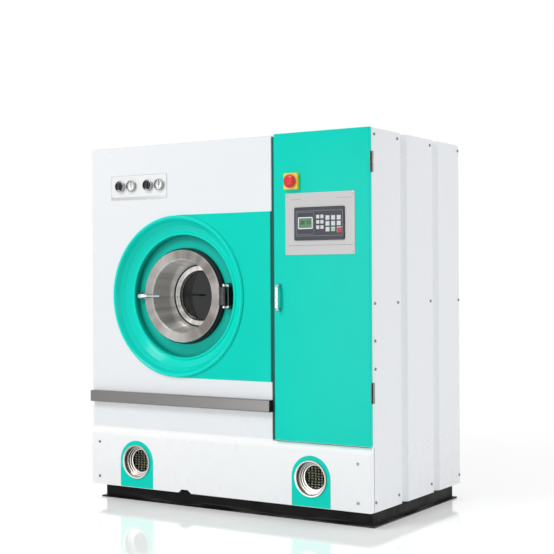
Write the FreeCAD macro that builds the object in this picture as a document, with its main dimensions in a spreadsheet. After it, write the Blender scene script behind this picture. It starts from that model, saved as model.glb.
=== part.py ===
import FreeCAD, Part
import math
import os
import Sketcher

# Dry cleaning machine: a folded steel cabinet on a channel plinth.  Behind the
# round window a perforated drum turns in a sealed tub; behind the right-hand
# door are the controls; solvent tanks stand at the bottom behind two sights.
# Frame: X to the right, Y to the back, Z up, floor at Z = 0, cabinet centred.
doc = FreeCAD.newDocument("dry_cleaning_machine")

# ---------------------------------------------------------------- driving sizes
SIZES = {
    # cabinet
    "cabinet_width": 1624,
    "cabinet_depth": 936,
    "panel_height": 1710,
    "base_height": 76,
    "sheet_gauge": 2,
    "panel_gap": 3,
    # plinth of steel channel
    "plinth_inset": 36,
    "plinth_setback": 64,
    "flange_width": 18,
    "channel_wall": 6,
    "cross_member_width": 60,
    "member_spacing": 220,
    "anchor_plate": 90,
    "anchor_hole": 14,
    "anchor_inset": 50,
    # inner frame of angle steel
    "angle_leg": 40,
    "angle_wall": 4,
    "middle_rail_height": 929,
    "cradle_height": 500,
    "cradle_front": 210,
    "cradle_spacing": 300,
    # front panels
    "bay_width": 524,
    "front_tray": 14,
    "front_bend": 10,
    "lower_panel_height": 288,
    "lower_panel_proud": 14,
    "lower_panel_slope": 32,
    "lower_panel_bend": 6,
    "notch_across": 594,
    "notch_base": 82,
    "notch_top": 36,
    "notch_height": 16,
    # side, rear and top sheets
    "side_tray": 30,
    "side_front_edge": 16,
    "first_flute": 281,
    "second_flute": 624,
    "flute_width": 68,
    "flute_depth": 24,
    "flute_slope": 25,
    "rear_tray": 20,
    "lid_tray": 8,
    "louvre_length": 300,
    "louvre_height": 14,
    "louvre_proud": 8,
    "louvre_pitch": 40,
    "louvre_count": 6,
    "screw_shank": 6,
    "screw_head": 13,
    "screw_head_height": 3.5,
    "screw_clearance": 0.5,
    # round opening and loading door
    "drum_off_middle": 7,
    "drum_up": 958,
    "bezel_outer": 396,
    "bezel_ridge": 14,
    "bezel_bead": 308,
    "bezel_bead_depth": 50,
    "bezel_floor_depth": 82,
    "bezel_hole": 238,
    "fascia_height": 796,
    "ring_outer": 230,
    "ring_inner": 182,
    "ring_front": 37,
    "ring_thick": 14,
    "bowl_wall": 2,
    "bowl_depth": 160,
    "bowl_end": 160,
    "glass_radius": 122,
    "glass_thick": 10,
    "door_clearance": 1,
    "hinge_offset": 250,
    "hinge_height": 130,
    "hinge_pin": 8,
    "hinge_play": 0.05,
    "latch_offset": 236,
    "latch_spindle": 7,
    "latch_boss": 13,
    "tongue_length": 42,
    "tongue_thick": 5,
    "lever_reach": 122,
    "lever_proud": 34,
    "lever_thick": 13,
    "lever_width": 26,
    # tub, drum and drive
    "tub_radius": 380,
    "tub_wall": 3,
    "tub_front": 120,
    "tub_depth": 500,
    "tub_mouth": 202,
    "gasket_wall": 16,
    "drum_radius": 350,
    "drum_wall": 2,
    "drum_end_gap": 32,
    "drum_mouth": 206,
    "drum_lip": 14,
    "perforation": 16,
    "perforation_columns": 18,
    "perforation_rows": 3,
    "lifter_height": 70,
    "lifter_base": 70,
    "shaft_radius": 25,
    "pulley_gap": 8,
    "hub_half": 26,
    "bearing_outer": 45,
    "bearing_width": 23,
    "housing_radius": 62,
    "housing_length": 150,
    "pulley_radius": 170,
    "pulley_width": 40,
    "belt_thick": 8,
    "motor_across": 770,
    "motor_up": 400,
    "motor_radius": 92,
    "motor_length": 180,
    "motor_pulley_radius": 42.5,
    "motor_shaft_radius": 12,
    # drying air and solvent
    "fan_up": 1505,
    "fan_radius": 125,
    "fan_gap": 20,
    "fan_width": 120,
    "fan_blades": 12,
    "fan_spout": 70,
    "duct_width": 340,
    "duct_depth": 330,
    "duct_height": 330,
    "tank_width": 410,
    "tank_depth": 500,
    "tank_height": 236,
    "tank_wall": 3,
    "left_port_across": 297.5,
    "right_port_in_bay": 211.5,
    "port_up": 130,
    "port_outer": 84,
    "port_glass": 57,
    "port_proud": 9,
    "arch_width": 206,
    "arch_rise": 132,
    "pump_radius": 72,
    "filter_in_bay": 115,
    "filter_radius": 88,
    "filter_height": 900,
    "vessel_back": 745,
    "still_in_bay": 352,
    "still_radius": 120,
    "still_height": 700,
    # bumper and gauge plate
    "bumper_height": 56,
    "bumper_reach": 32,
    "bumper_up": 421,
    "gauge_plate_left": 130,
    "gauge_plate_width": 356,
    "gauge_plate_height": 123,
    "gauge_plate_up": 1442,
    "gauge_radius": 28,
    "gauge_reach": 16,
    "first_gauge_across": 265,
    "gauge_spacing": 177,
    "gauge_up": 1510,
    "knob_radius": 21,
    "knob_boss": 4,
    "knob_reach": 9,
    "knob_offset": 70,
    # control cabinet
    "door_left": 21,
    "door_bottom": 296,
    "door_height": 1415,
    "door_thick": 20,
    "door_bend": 7,
    "butt_height": 92,
    "butt_radius": 5.5,
    "butt_pin": 2.5,
    "butt_leaf": 2,
    "upper_butt_up": 1558,
    "lower_butt_up": 532,
    "control_left": 88,
    "control_up": 1150,
    "control_width": 363,
    "control_height": 282,
    "unit_left": 138,
    "unit_up": 1215,
    "unit_width": 262,
    "unit_height": 151,
    "unit_proud": 7,
    "screen_left": 161,
    "screen_up": 1267,
    "screen_width": 77,
    "screen_height": 53,
    "small_keys_left": 119,
    "small_keys_up": 50,
    "small_key_pitch": 22,
    "small_row_pitch": 24,
    "small_key": 16,
    "large_keys_left": 168,
    "large_keys_up": 38,
    "large_key_pitch": 29,
    "large_row_pitch": 26,
    "large_key": 20,
    "stop_box_left": 88,
    "stop_box_up": 1449,
    "stop_box_width": 74,
    "stop_box_height": 76,
    "stop_box_depth": 18,
    "stop_radius": 30,
    "stop_travel": 6,
    "handle_up": 889,
    "handle_height": 130,
    "handle_across": 52,
    "handle_reach": 30,
    "gear_plate_back": 330,
}

sheet = doc.addObject("Spreadsheet::Sheet", "Sizes")
for row, (alias, number) in enumerate(SIZES.items(), start=1):
    sheet.set(f"A{row}", alias)
    sheet.set(f"B{row}", str(number))
    sheet.setAlias(f"B{row}", alias)
doc.recompute()


# ---------------------------------------------------------------- sizes that stay bound
class Size:
    """A number in millimetres together with the sheet expression that gives it."""

    def __init__(self, value, text=None):
        self.value = float(value)
        self.text = text or f"{float(value):.6f}"

    def __add__(self, other):
        other = size(other)
        return Size(self.value + other.value, f"({self.text} + {other.text})")

    def __sub__(self, other):
        other = size(other)
        return Size(self.value - other.value, f"({self.text} - {other.text})")

    def __mul__(self, other):
        other = size(other)
        return Size(self.value * other.value, f"({self.text} * {other.text})")

    def __truediv__(self, other):
        other = size(other)
        return Size(self.value / other.value, f"({self.text} / {other.text})")

    def __neg__(self):
        return Size(-self.value, f"(0 - {self.text})")

    def __radd__(self, other):
        return size(other) + self

    def __rsub__(self, other):
        return size(other) - self

    def __rmul__(self, other):
        return size(other) * self


def size(number):
    """A plain number or the name of a sheet cell as a Size."""
    if isinstance(number, Size):
        return number
    if isinstance(number, str):
        return Size(SIZES[number], f"Sizes.{number}")
    return Size(number)


class Cells:
    """The sheet's cells as attributes, so a formula reads like a drawing note."""

    def __getattr__(self, alias):
        return size(alias)


S = Cells()

# faces of the cabinet that everything is measured from
LEFT = -S.cabinet_width / 2
RIGHT = S.cabinet_width / 2
FRONT = -S.cabinet_depth / 2
BACK = S.cabinet_depth / 2
SILL = S.base_height
ROOF = S.base_height + S.panel_height
SPLIT = S.cabinet_width - S.bay_width
DRUM_ACROSS = SPLIT / 2 - S.drum_off_middle
AXIS = (LEFT + DRUM_ACROSS, FRONT, SILL + S.drum_up)


# ---------------------------------------------------------------- modelling helpers
def bind(item, prop, amount):
    """Tie a property to its sheet expression."""
    item.setExpression(prop, size(amount).text)


def place(item, x, y, z):
    """Put a sub-part at a point given by sheet expressions."""
    for name, amount in (("x", x), ("y", y), ("z", z)):
        bind(item, f"Placement.Base.{name}", amount)
    return item


def new_body(label, x=0, y=0, z=0):
    """A PartDesign body whose origin stands at the given point."""
    body = doc.addObject("PartDesign::Body", label)
    body.Label = label
    return place(body, x, y, z)


def origin_plane(body, role):
    """The body's own plane: XY_Plane, XZ_Plane or YZ_Plane."""
    return next(item for item in body.Origin.OriginFeatures if item.Role == role)


def sketch(body, role, offset, polygons=(), circles=()):
    """A sketch of closed polygons and circles, every point bound to the sheet.

    A polygon is a list of (across, up); a circle is (across, up, radius).
    """
    drawing = body.newObject("Sketcher::SketchObject", body.Name + "_sketch")
    drawing.AttachmentSupport = (origin_plane(body, role), [""])
    drawing.MapMode = "FlatFace"
    if size(offset).value:
        bind(drawing, "AttachmentOffset.Base.z", offset)
    for points in polygons:
        first = drawing.GeometryCount
        count = len(points)
        corners = [FreeCAD.Vector(size(a).value, size(b).value, 0) for a, b in points]
        for i in range(count):
            edge = Part.LineSegment(corners[i], corners[(i + 1) % count])
            drawing.addGeometry(edge, False)
        for i in range(count):
            following = first + (i + 1) % count
            drawing.addConstraint(Sketcher.Constraint("Coincident", first + i, 2, following, 1))
        for i, (a, b) in enumerate(points):
            pin_point(drawing, first + i, 1, a, b)
    for a, b, radius in circles:
        centre = FreeCAD.Vector(size(a).value, size(b).value, 0)
        normal = FreeCAD.Vector(0, 0, 1)
        index = drawing.addGeometry(Part.Circle(centre, normal, size(radius).value), False)
        pin_point(drawing, index, 3, a, b)
        number = drawing.addConstraint(
            Sketcher.Constraint("Radius", index, size(radius).value))
        bind(drawing, f"Constraints[{number}]", radius)
    return drawing


def pin_point(drawing, index, vertex, a, b):
    """Measure one sketch point from the sketch's origin, both ways."""
    for kind, amount in (("DistanceX", a), ("DistanceY", b)):
        number = drawing.addConstraint(
            Sketcher.Constraint(kind, -1, 1, index, vertex, size(amount).value))
        bind(drawing, f"Constraints[{number}]", amount)


def pad(body, drawing, length, reverse=False):
    """Grow a sketch into a solid; reverse grows against the plane's normal."""
    feature = body.newObject("PartDesign::Pad", body.Name + "_pad")
    feature.Profile = drawing
    feature.Reversed = reverse
    bind(feature, "Length", length)
    doc.recompute()
    return feature


def pocket(body, drawing, length, reverse=False):
    """Cut a sketch out of the body; without reverse it cuts against the normal."""
    before = body.Shape.Volume
    feature = body.newObject("PartDesign::Pocket", body.Name + "_pocket")
    feature.Profile = drawing
    feature.Reversed = reverse
    bind(feature, "Length", length)
    doc.recompute()
    if feature.Shape.Volume > before - 1:
        raise ValueError(f"{body.Name}: the pocket cuts nothing")
    return feature


def pocket_both(body, drawing, length):
    """Cut a sketch to both sides of its plane."""
    before = body.Shape.Volume
    feature = body.newObject("PartDesign::Pocket", body.Name + "_pocket")
    feature.Profile = drawing
    feature.SideType = "Symmetric"
    bind(feature, "Length", length)
    doc.recompute()
    if feature.Shape.Volume > before - 1:
        raise ValueError(f"{body.Name}: the pocket cuts nothing")
    return feature


def turn(body, drawing, axis="V_Axis", groove=False):
    """Revolve a half section a full turn about a sketch axis."""
    kind = "Groove" if groove else "Revolution"
    feature = body.newObject("PartDesign::" + kind, body.Name + "_" + kind.lower())
    feature.Profile = drawing
    feature.ReferenceAxis = (drawing, [axis])
    feature.Angle = 360
    doc.recompute()
    return feature


def edges_where(feature, test):
    """Names of the edges whose bounding box and centre pass a test."""
    found = []
    for number, edge in enumerate(feature.Shape.Edges, start=1):
        if test(edge.BoundBox):
            found.append(f"Edge{number}")
    return found


def faces_where(feature, test):
    """Names of the faces whose bounding box passes a test."""
    found = []
    for number, face in enumerate(feature.Shape.Faces, start=1):
        if test(face.BoundBox):
            found.append(f"Face{number}")
    return found


def near(a, b):
    """Two lengths that agree to a hundredth of a millimetre."""
    return abs(a - size(b).value) < 0.01


def fillet(body, edges, radius, kind="Fillet"):
    """Round or chamfer named edges of the body's last feature."""
    last = body.Tip
    feature = body.newObject("PartDesign::" + kind, body.Name + "_" + kind.lower())
    feature.Base = (last, edges)
    bind(feature, "Size" if kind == "Chamfer" else "Radius", radius)
    doc.recompute()
    return feature


def hollow(body, faces, wall, sharp=True):
    """Leave a sheet of even thickness inside the outer skin, open at the faces."""
    last = body.Tip
    feature = body.newObject("PartDesign::Thickness", body.Name + "_thickness")
    feature.Base = (last, faces)
    feature.Reversed = True
    feature.Join = 1 if sharp else 0
    bind(feature, "Value", wall)
    doc.recompute()
    return feature


def around(body, feature, count, role="Y_Axis"):
    """Repeat a feature round one of the body's own axes."""
    pattern = body.newObject("PartDesign::PolarPattern", body.Name + "_polar")
    pattern.Originals = [feature]
    axis = next(item for item in body.Origin.OriginFeatures if item.Role == role)
    pattern.Axis = (axis, [""])
    pattern.Angle = 360
    bind(pattern, "Occurrences", count)
    body.Tip = pattern
    doc.recompute()
    return pattern


def along(body, feature, role, length, count):
    """Repeat a feature along one of the body's own axes over a length."""
    pattern = body.newObject("PartDesign::LinearPattern", body.Name + "_row")
    pattern.Originals = [feature]
    axis = next(item for item in body.Origin.OriginFeatures if item.Role == role)
    pattern.Direction = (axis, [""])
    bind(pattern, "Length", length)
    bind(pattern, "Occurrences", count)
    body.Tip = pattern
    doc.recompute()
    return pattern


def turned(points, angle):
    """Points turned about the sketch's origin by an angle in radians."""
    c, s = math.cos(angle), math.sin(angle)
    return [(a * c - b * s, a * s + b * c) for a, b in points]


def rectangle(a0, b0, a1, b1):
    """Four corners of an upright rectangle."""
    return [(a0, b0), (a1, b0), (a1, b1), (a0, b1)]


def slab(body, role, offset, outline, length, reverse=False):
    """Pad one polygon; the everyday plate or bar."""
    return pad(body, sketch(body, role, offset, [outline]), length, reverse)


def across(distance):
    """X of a point measured from the cabinet's left side."""
    return LEFT + distance


def behind(distance):
    """Y of a point measured back from the front sheet's face."""
    return FRONT + distance


def above(distance):
    """Z of a point measured up from the lower edge of the panels."""
    return SILL + distance


# ---------------------------------------------------------------- plinth and frame
def base_frame():
    """Channel frame with its flanges turned outwards, three cross members, feet."""
    long_half = (S.cabinet_width - 2 * S.plinth_inset) / 2
    deep_half = (S.cabinet_depth - S.plinth_setback - S.flange_width) / 2
    body = new_body("base_frame", 0, BACK - S.flange_width - deep_half, 0)

    def ring(z, outer, inner, height):
        outside = rectangle(-long_half - outer, -deep_half - outer,
                            long_half + outer, deep_half + outer)
        inside = rectangle(-long_half + inner, -deep_half + inner,
                           long_half - inner, deep_half - inner)
        pad(body, sketch(body, "XY_Plane", z, [outside, inside]), height)

    ring(0, 0, S.channel_wall, S.base_height)
    ring(0, S.flange_width, S.channel_wall / 2, S.channel_wall)
    ring(S.base_height - S.channel_wall, S.flange_width, S.channel_wall / 2, S.channel_wall)
    shift = FRONT + S.cabinet_depth / 2 - (BACK - S.flange_width - deep_half)
    half = S.cross_member_width / 2
    for place_back in (-S.member_spacing, 0, S.member_spacing):
        middle = shift + place_back
        slab(body, "XY_Plane", 0, rectangle(-long_half + S.channel_wall / 2, middle - half,
                                            long_half - S.channel_wall / 2, middle + half),
             S.base_height)
    plates = []
    holes = []
    for side in (-1, 1):
        for end in (-1, 1):
            corner_x = side * (long_half - S.channel_wall / 2)
            corner_y = end * (deep_half - S.channel_wall / 2)
            plates.append(rectangle(corner_x - side * S.anchor_plate,
                                    corner_y - end * S.anchor_plate, corner_x, corner_y))
            holes.append((side * (long_half - S.anchor_inset),
                          end * (deep_half - S.anchor_inset), S.anchor_hole / 2))
    pad(body, sketch(body, "XY_Plane", 0, plates), S.channel_wall)
    pocket_both(body, sketch(body, "XY_Plane", 0, circles=holes), 4 * S.channel_wall)
    return body


def cabinet_frame():
    """Welded angle-steel frame: six posts, top curb, side rails and a tub cradle."""
    body = new_body("cabinet_frame", LEFT, FRONT, SILL)
    near_x = S.side_tray
    far_x = S.cabinet_width - S.side_tray
    near_y = S.front_tray
    far_y = S.cabinet_depth - S.rear_tray
    middle_x = SPLIT + S.sheet_gauge + S.panel_gap
    leg = S.angle_leg
    wall = S.angle_wall
    height = S.panel_height - S.lid_tray

    def post(x, y, to_x, to_y):
        """An L section whose heel stands at x, y and whose legs point inwards."""
        return [(x, y), (x + to_x * leg, y), (x + to_x * leg, y + to_y * wall),
                (x + to_x * wall, y + to_y * wall), (x + to_x * wall, y + to_y * leg),
                (x, y + to_y * leg)]

    posts = [post(near_x, near_y, 1, 1), post(near_x, far_y, 1, -1),
             post(far_x, near_y, -1, 1), post(far_x, far_y, -1, -1),
             post(middle_x, near_y, -1, 1), post(middle_x, far_y, -1, -1)]
    pad(body, sketch(body, "XY_Plane", 0, posts), height)
    curb = height - leg
    outside = rectangle(near_x, near_y, far_x, far_y)
    inside = rectangle(near_x + wall, near_y + wall, far_x - wall, far_y - wall)
    pad(body, sketch(body, "XY_Plane", curb, [outside, inside]), leg)
    rails = [rectangle(near_x, near_y, near_x + wall, far_y),
             rectangle(far_x - wall, near_y, far_x, far_y),
             rectangle(middle_x - wall, near_y, middle_x, far_y)]
    pad(body, sketch(body, "XY_Plane", S.middle_rail_height - leg / 2, rails), leg)
    pad(body, sketch(body, "XY_Plane", S.cradle_height, rails[::2]), leg)
    rise = S.drum_up - S.cradle_height
    for step in (0, 1):
        beam = slab(body, "XZ_Plane", -(S.cradle_front + step * S.cradle_spacing),
                    rectangle(near_x + wall / 2, S.cradle_height,
                              middle_x - wall / 2, S.cradle_height + rise * 0.45), 8)
    saddle = sketch(body, "XZ_Plane", -(S.cradle_front - 20),
                    circles=[(DRUM_ACROSS, S.drum_up, S.tub_radius)])
    pocket(body, saddle, S.cradle_spacing + 40)
    return body


# ---------------------------------------------------------------- folded sheets
def upper_front_panel():
    """Folded front sheet with the round opening for the door bezel."""
    low = S.lower_panel_height + S.panel_gap
    body = new_body("upper_front_panel", LEFT, FRONT, above(low))
    high = S.panel_height - low - 4
    slab(body, "XZ_Plane", 0, rectangle(0, 0, SPLIT, high), S.front_tray, True)
    right_bend = edges_where(body.Tip, lambda box: near(box.XMin, SPLIT)
                             and near(box.YMax, 0) and box.ZLength > 100)
    left_bend = edges_where(body.Tip, lambda box: near(box.XMax, 0)
                            and near(box.YMax, 0) and box.ZLength > 100)
    fillet(body, right_bend, S.front_bend)
    left_bend = edges_where(body.Tip, lambda box: near(box.XMax, 0)
                            and near(box.YMax, 0) and box.ZLength > 100)
    fillet(body, left_bend, S.front_bend / 2)
    hollow(body, faces_where(body.Tip, lambda box: near(box.YMin, S.front_tray)),
           S.sheet_gauge)
    opening = sketch(body, "XZ_Plane", 1, circles=[
        (DRUM_ACROSS, S.drum_up - low, S.bezel_outer - S.bezel_ridge)])
    pocket(body, opening, S.front_tray)
    return body


def fascia_plate():
    """Coloured plate bonded on the front sheet, from the bezel to the door gap."""
    body = new_body("fascia_plate", AXIS[0], FRONT, AXIS[2])
    end = SPLIT - DRUM_ACROSS - S.front_bend
    half = S.fascia_height / 2
    slab(body, "XZ_Plane", 0, rectangle(0, -half, end, half), S.sheet_gauge)
    pocket(body, sketch(body, "XZ_Plane", S.sheet_gauge + 1, circles=[
        (0, 0, S.bezel_outer + 0.2)]), 2 * S.sheet_gauge + 2)
    return body


def lower_front_panel():
    """Folded kick panel: sloped top band, two sight openings, a lifting notch."""
    body = new_body("lower_front_panel", LEFT + S.panel_gap, FRONT, SILL)
    wide = S.cabinet_width - 2 * S.panel_gap
    proud = S.lower_panel_proud
    top = S.lower_panel_height
    edge = S.front_tray
    section = [(-proud, 0), (-proud, top - S.lower_panel_slope), (-2, top),
               (edge, top), (edge, 0)]
    slab(body, "YZ_Plane", 0, section, wide)
    corners = edges_where(body.Tip, lambda box: near(box.YMax, -proud)
                          and box.XLength < 0.01 and box.ZLength > 100)
    fillet(body, corners, S.lower_panel_bend)
    hollow(body, faces_where(body.Tip, lambda box: near(box.YMin, edge)), S.sheet_gauge)
    ports = [(port - S.panel_gap, S.port_up, S.port_outer - 6)
             for port in (S.left_port_across, (SPLIT + S.right_port_in_bay))]
    pocket(body, sketch(body, "XZ_Plane", proud + 1, circles=ports), proud + edge)
    middle = S.notch_across - S.panel_gap
    notch = [(middle - S.notch_base / 2, -1), (middle + S.notch_base / 2, -1),
             (middle + S.notch_top / 2, S.notch_height),
             (middle - S.notch_top / 2, S.notch_height)]
    pocket(body, sketch(body, "XZ_Plane", proud + 1, [notch]), proud + edge + 2)
    screws = [(x - S.panel_gap, z, S.screw_shank / 2 + S.screw_clearance)
              for x, z in LOWER_SCREWS]
    pocket(body, sketch(body, "XZ_Plane", proud + 1, circles=screws), proud)
    return body


LOWER_SCREWS = [(57, 216), (57, 41), (S.cabinet_width - 69, 216), (S.cabinet_width - 69, 41)]


def side_screws():
    """Depth and height of every screw in a side panel."""
    columns = [26, S.first_flute - 30, S.second_flute - 26, S.cabinet_depth - 12]
    rows = [44, S.middle_rail_height, S.panel_height - 28]
    points = [(column, row) for column in columns for row in rows]
    return points + [(26, 762), (26, 637)]


def side_panel(label, x, side):
    """Tray-folded side sheet with two pressed flutes from top to bottom."""
    body = new_body(label, x, FRONT, SILL)
    deep = S.flute_depth
    start = S.side_front_edge
    outline = [(0, start)]
    for flute in (S.first_flute, S.second_flute):
        outline += [(0, flute), (-side * deep, flute + S.flute_slope),
                    (-side * deep, flute + S.flute_width - S.flute_slope),
                    (0, flute + S.flute_width)]
    outline += [(0, S.cabinet_depth), (-side * S.side_tray, S.cabinet_depth),
                (-side * S.side_tray, start)]
    slab(body, "XY_Plane", 0, outline, S.panel_height)
    bends = edges_where(body.Tip, lambda box: near(box.XMax, 0) and near(box.XMin, 0)
                        and box.ZLength > 100
                        and (near(box.YMin, start) or near(box.YMin, S.cabinet_depth)))
    fillet(body, bends, S.sheet_gauge + 1)
    inner = -side * S.side_tray
    hollow(body, faces_where(body.Tip, lambda box: near(box.XMin, inner)
                             and near(box.XMax, inner)), S.sheet_gauge)
    holes = [(y, z, S.screw_shank / 2 + S.screw_clearance) for y, z in side_screws()]
    pocket_both(body, sketch(body, "YZ_Plane", 0, circles=holes), 6 * S.sheet_gauge)
    return body


def rear_panel():
    """Rear sheet between the side panels with a block of pressed louvres."""
    edge = S.side_tray + S.panel_gap
    body = new_body("rear_panel", LEFT + edge, BACK, SILL)
    wide = S.cabinet_width - 2 * edge
    slab(body, "XZ_Plane", 0, rectangle(0, 0, wide, S.panel_height - 4), S.rear_tray)
    hollow(body, faces_where(body.Tip, lambda box: near(box.YMax, -S.rear_tray)),
           S.sheet_gauge)
    for left, low in ((wide - 420, 1250), (wide - 420, 500), (420, 1250)):
        hood = [(-S.sheet_gauge, low), (S.louvre_proud, low),
                (S.louvre_proud, low + 2), (-S.sheet_gauge, low + S.louvre_height)]
        fin = slab(body, "YZ_Plane", left, hood, S.louvre_length)
        along(body, fin, "Z_Axis", S.louvre_pitch * (S.louvre_count - 1), S.louvre_count)
        slot = sketch(body, "XZ_Plane", S.sheet_gauge * 2, [rectangle(
            left + 4, low - 8, left + S.louvre_length - 4, low)])
        cut = pocket(body, slot, S.sheet_gauge * 3)
        along(body, cut, "Z_Axis", S.louvre_pitch * (S.louvre_count - 1), S.louvre_count)
    return body


def top_cover():
    """Lid tray lying between the side, front and rear returns."""
    gap = S.side_tray + 1
    body = new_body("top_cover", LEFT + gap, behind(S.side_front_edge + 1), ROOF)
    wide = S.cabinet_width - 2 * gap
    deep = S.cabinet_depth - S.side_front_edge - S.rear_tray - 2
    slab(body, "XY_Plane", 0, rectangle(0, 0, wide, deep), S.lid_tray, True)
    hollow(body, faces_where(body.Tip, lambda box: near(box.ZMax, -S.lid_tray)),
           S.sheet_gauge)
    return body


def compartment_wall():
    """Sheet wall between the drum chamber and the control compartment."""
    x = across(SPLIT + S.sheet_gauge + S.panel_gap)
    body = new_body("compartment_wall", x, behind(S.front_tray), above(300))
    slab(body, "YZ_Plane", 0, rectangle(
        0, 0, S.cabinet_depth - S.front_tray - S.rear_tray, S.panel_height - 350),
        S.sheet_gauge)
    return body


def door_surround():
    """Folded frame round the control compartment that the cabinet door meets."""
    low = S.lower_panel_height + S.panel_gap
    body = new_body("door_surround", across(SPLIT + 2), FRONT, above(low))
    wide = S.cabinet_width - SPLIT - 2
    high = S.panel_height - low
    slab(body, "XZ_Plane", 0, rectangle(0, 0, wide, high), S.front_tray, True)
    hollow(body, faces_where(body.Tip, lambda box: near(box.YMin, S.front_tray)),
           S.sheet_gauge)
    pocket(body, sketch(body, "XZ_Plane", 1, [rectangle(
        45, 40, wide - 45, high - 40)]), S.front_tray)
    return body


# ---------------------------------------------------------------- round bezel
def door_bezel():
    """Dished ring pressed from sheet: rolled lip, hollow cone, bead, stepped floor."""
    body = new_body("door_bezel", *AXIS)
    lip = S.bezel_outer
    ridge = -S.bezel_ridge
    bead = S.bezel_bead
    bead_y = S.bezel_bead_depth
    floor = S.bezel_floor_depth
    section = [
        (S.bezel_hole, floor),
        (bead - 10, floor),
        (bead - 8, bead_y + 4),
        (bead - 4, bead_y - 3),
        (bead + 4, bead_y - 3),
        (bead + 9, bead_y + 3),
        (bead + 22, bead_y - 4),
        (bead + 42, bead_y - 18),
        (bead + 60, bead_y - 38),
        (lip - 16, ridge + 3),
        (lip - 11, ridge),
        (lip - 5, ridge),
        (lip, ridge + 6),
        (lip, 0),
        (lip - 12, 0),
        (bead + 14, floor + 10),
        (S.bezel_hole, floor + 10),
    ]
    turn(body, sketch(body, "XY_Plane", 0, [section]))
    back = faces_where(body.Tip, lambda box: box.YMax > floor.value + 9.9
                       or (near(box.YMin, 0) and near(box.YMax, 0)))
    hollow(body, back, S.sheet_gauge)
    return body


# ---------------------------------------------------------------- bumper, arches, sights
def bumper_bar():
    """Stainless channel across the front, its back and both ends open."""
    body = new_body("bumper_bar", LEFT + 12, FRONT, above(S.bumper_up))
    wide = SPLIT - 14
    slab(body, "XZ_Plane", 0, rectangle(0, 0, wide, S.bumper_height), S.bumper_reach)
    rounded = edges_where(body.Tip, lambda box: near(box.YMin, -S.bumper_reach)
                          and near(box.YMax, -S.bumper_reach) and box.XLength > 100)
    fillet(body, rounded, 6)
    hollow(body, faces_where(body.Tip, lambda box: near(box.YMin, 0)
                             or box.XLength < 0.01), S.sheet_gauge)
    return body


def arch_plates():
    """Two coloured plates behind the sights: straight sides under a half round."""
    body = new_body("arch_plates", LEFT, FRONT - S.lower_panel_proud, SILL)
    gauge = S.sheet_gauge / 2
    for port in (S.left_port_across, (SPLIT + S.right_port_in_bay)):
        half = S.arch_width / 2
        slab(body, "XZ_Plane", 0, rectangle(port - half, 2, port + half, S.arch_rise), gauge)
        pad(body, sketch(body, "XZ_Plane", 0, circles=[(port, S.arch_rise, half)]), gauge)
    ports = [(port, S.port_up, S.port_outer - 6)
             for port in (S.left_port_across, (SPLIT + S.right_port_in_bay))]
    pocket_both(body, sketch(body, "XZ_Plane", 0, circles=ports), 4 * S.sheet_gauge)
    return body


def sight_rings():
    """Two stepped stainless rings that carry the tanks' round sight glasses."""
    body = new_body("sight_rings", across(S.left_port_across), FRONT, above(S.port_up))
    face = -(S.lower_panel_proud + S.sheet_gauge / 2)
    outer = S.port_outer
    lip = face - S.port_proud
    glass = S.port_glass
    section = [(outer, face), (outer, lip + 2), (outer - 2, lip), (outer - 6, lip),
               (outer - 9, lip + 4), (outer - 11, face + 2), (outer - 11, 2),
               (outer - 16, 3), (outer - 16, 12), (glass + 5, 13), (glass + 5, 21),
               (glass - 1.5, 22), (glass - 1.5, 26), (glass + 1, 26), (glass + 1, 45),
               (outer - 8, 45), (outer - 8, face)]
    ring = turn(body, sketch(body, "XY_Plane", 0, [section]))
    between = SPLIT + S.right_port_in_bay - S.left_port_across
    along(body, ring, "X_Axis", between, 2)
    return body


def sight_glasses():
    """The two round glasses seated in the sight rings."""
    body = new_body("sight_glasses", LEFT, FRONT, above(S.port_up))
    ports = [(port, 0, S.port_glass) for port in (S.left_port_across, (SPLIT + S.right_port_in_bay))]
    pad(body, sketch(body, "XZ_Plane", -35, circles=ports), 9)
    return body


def solvent_tank(label, port, shift):
    """Welded tank with rounded corners and a neck hole behind its sight."""
    body = new_body(label, across(port) + shift, behind(45), SILL)
    half = S.tank_width / 2
    slab(body, "XZ_Plane", 0, rectangle(-half, 0, half, S.tank_height), S.tank_depth, True)
    upright = edges_where(body.Tip, lambda box: box.XLength < 0.01 and box.ZLength < 0.01)
    fillet(body, upright, 20)
    hollow(body, faces_where(body.Tip, lambda box: near(box.YMin, S.tank_depth)), S.tank_wall)
    slab(body, "XZ_Plane", -(S.tank_depth + S.tank_wall), rectangle(
        20 - half, 20, half - 20, S.tank_height - 20), S.tank_wall)
    pocket(body, sketch(body, "XZ_Plane", 1, circles=[
        (-shift, S.port_up, S.port_glass - 7)]), 3 * S.tank_wall)
    return body


# ---------------------------------------------------------------- loading door
def door_ring():
    """Polished flat ring of the loading door with rounded rims."""
    body = new_body("door_ring", *AXIS)
    front = S.ring_front
    back = S.ring_front + S.ring_thick
    section = [(S.ring_inner + 3, front), (S.ring_outer - 4, front), (S.ring_outer, front + 4),
               (S.ring_outer, back - 2), (S.ring_outer - 2, back), (S.ring_inner, back),
               (S.ring_inner, front + 3)]
    turn(body, sketch(body, "XY_Plane", 0, [section]))
    boss = sketch(body, "XZ_Plane", -back, circles=[(-S.latch_offset, 0, S.latch_boss)])
    pad(body, boss, S.ring_thick - 2)
    bore = sketch(body, "XZ_Plane", 0, circles=[
        (-S.latch_offset, 0, S.latch_spindle + S.hinge_play)])
    pocket_both(body, bore, 2 * back + 20)
    return body


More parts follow.
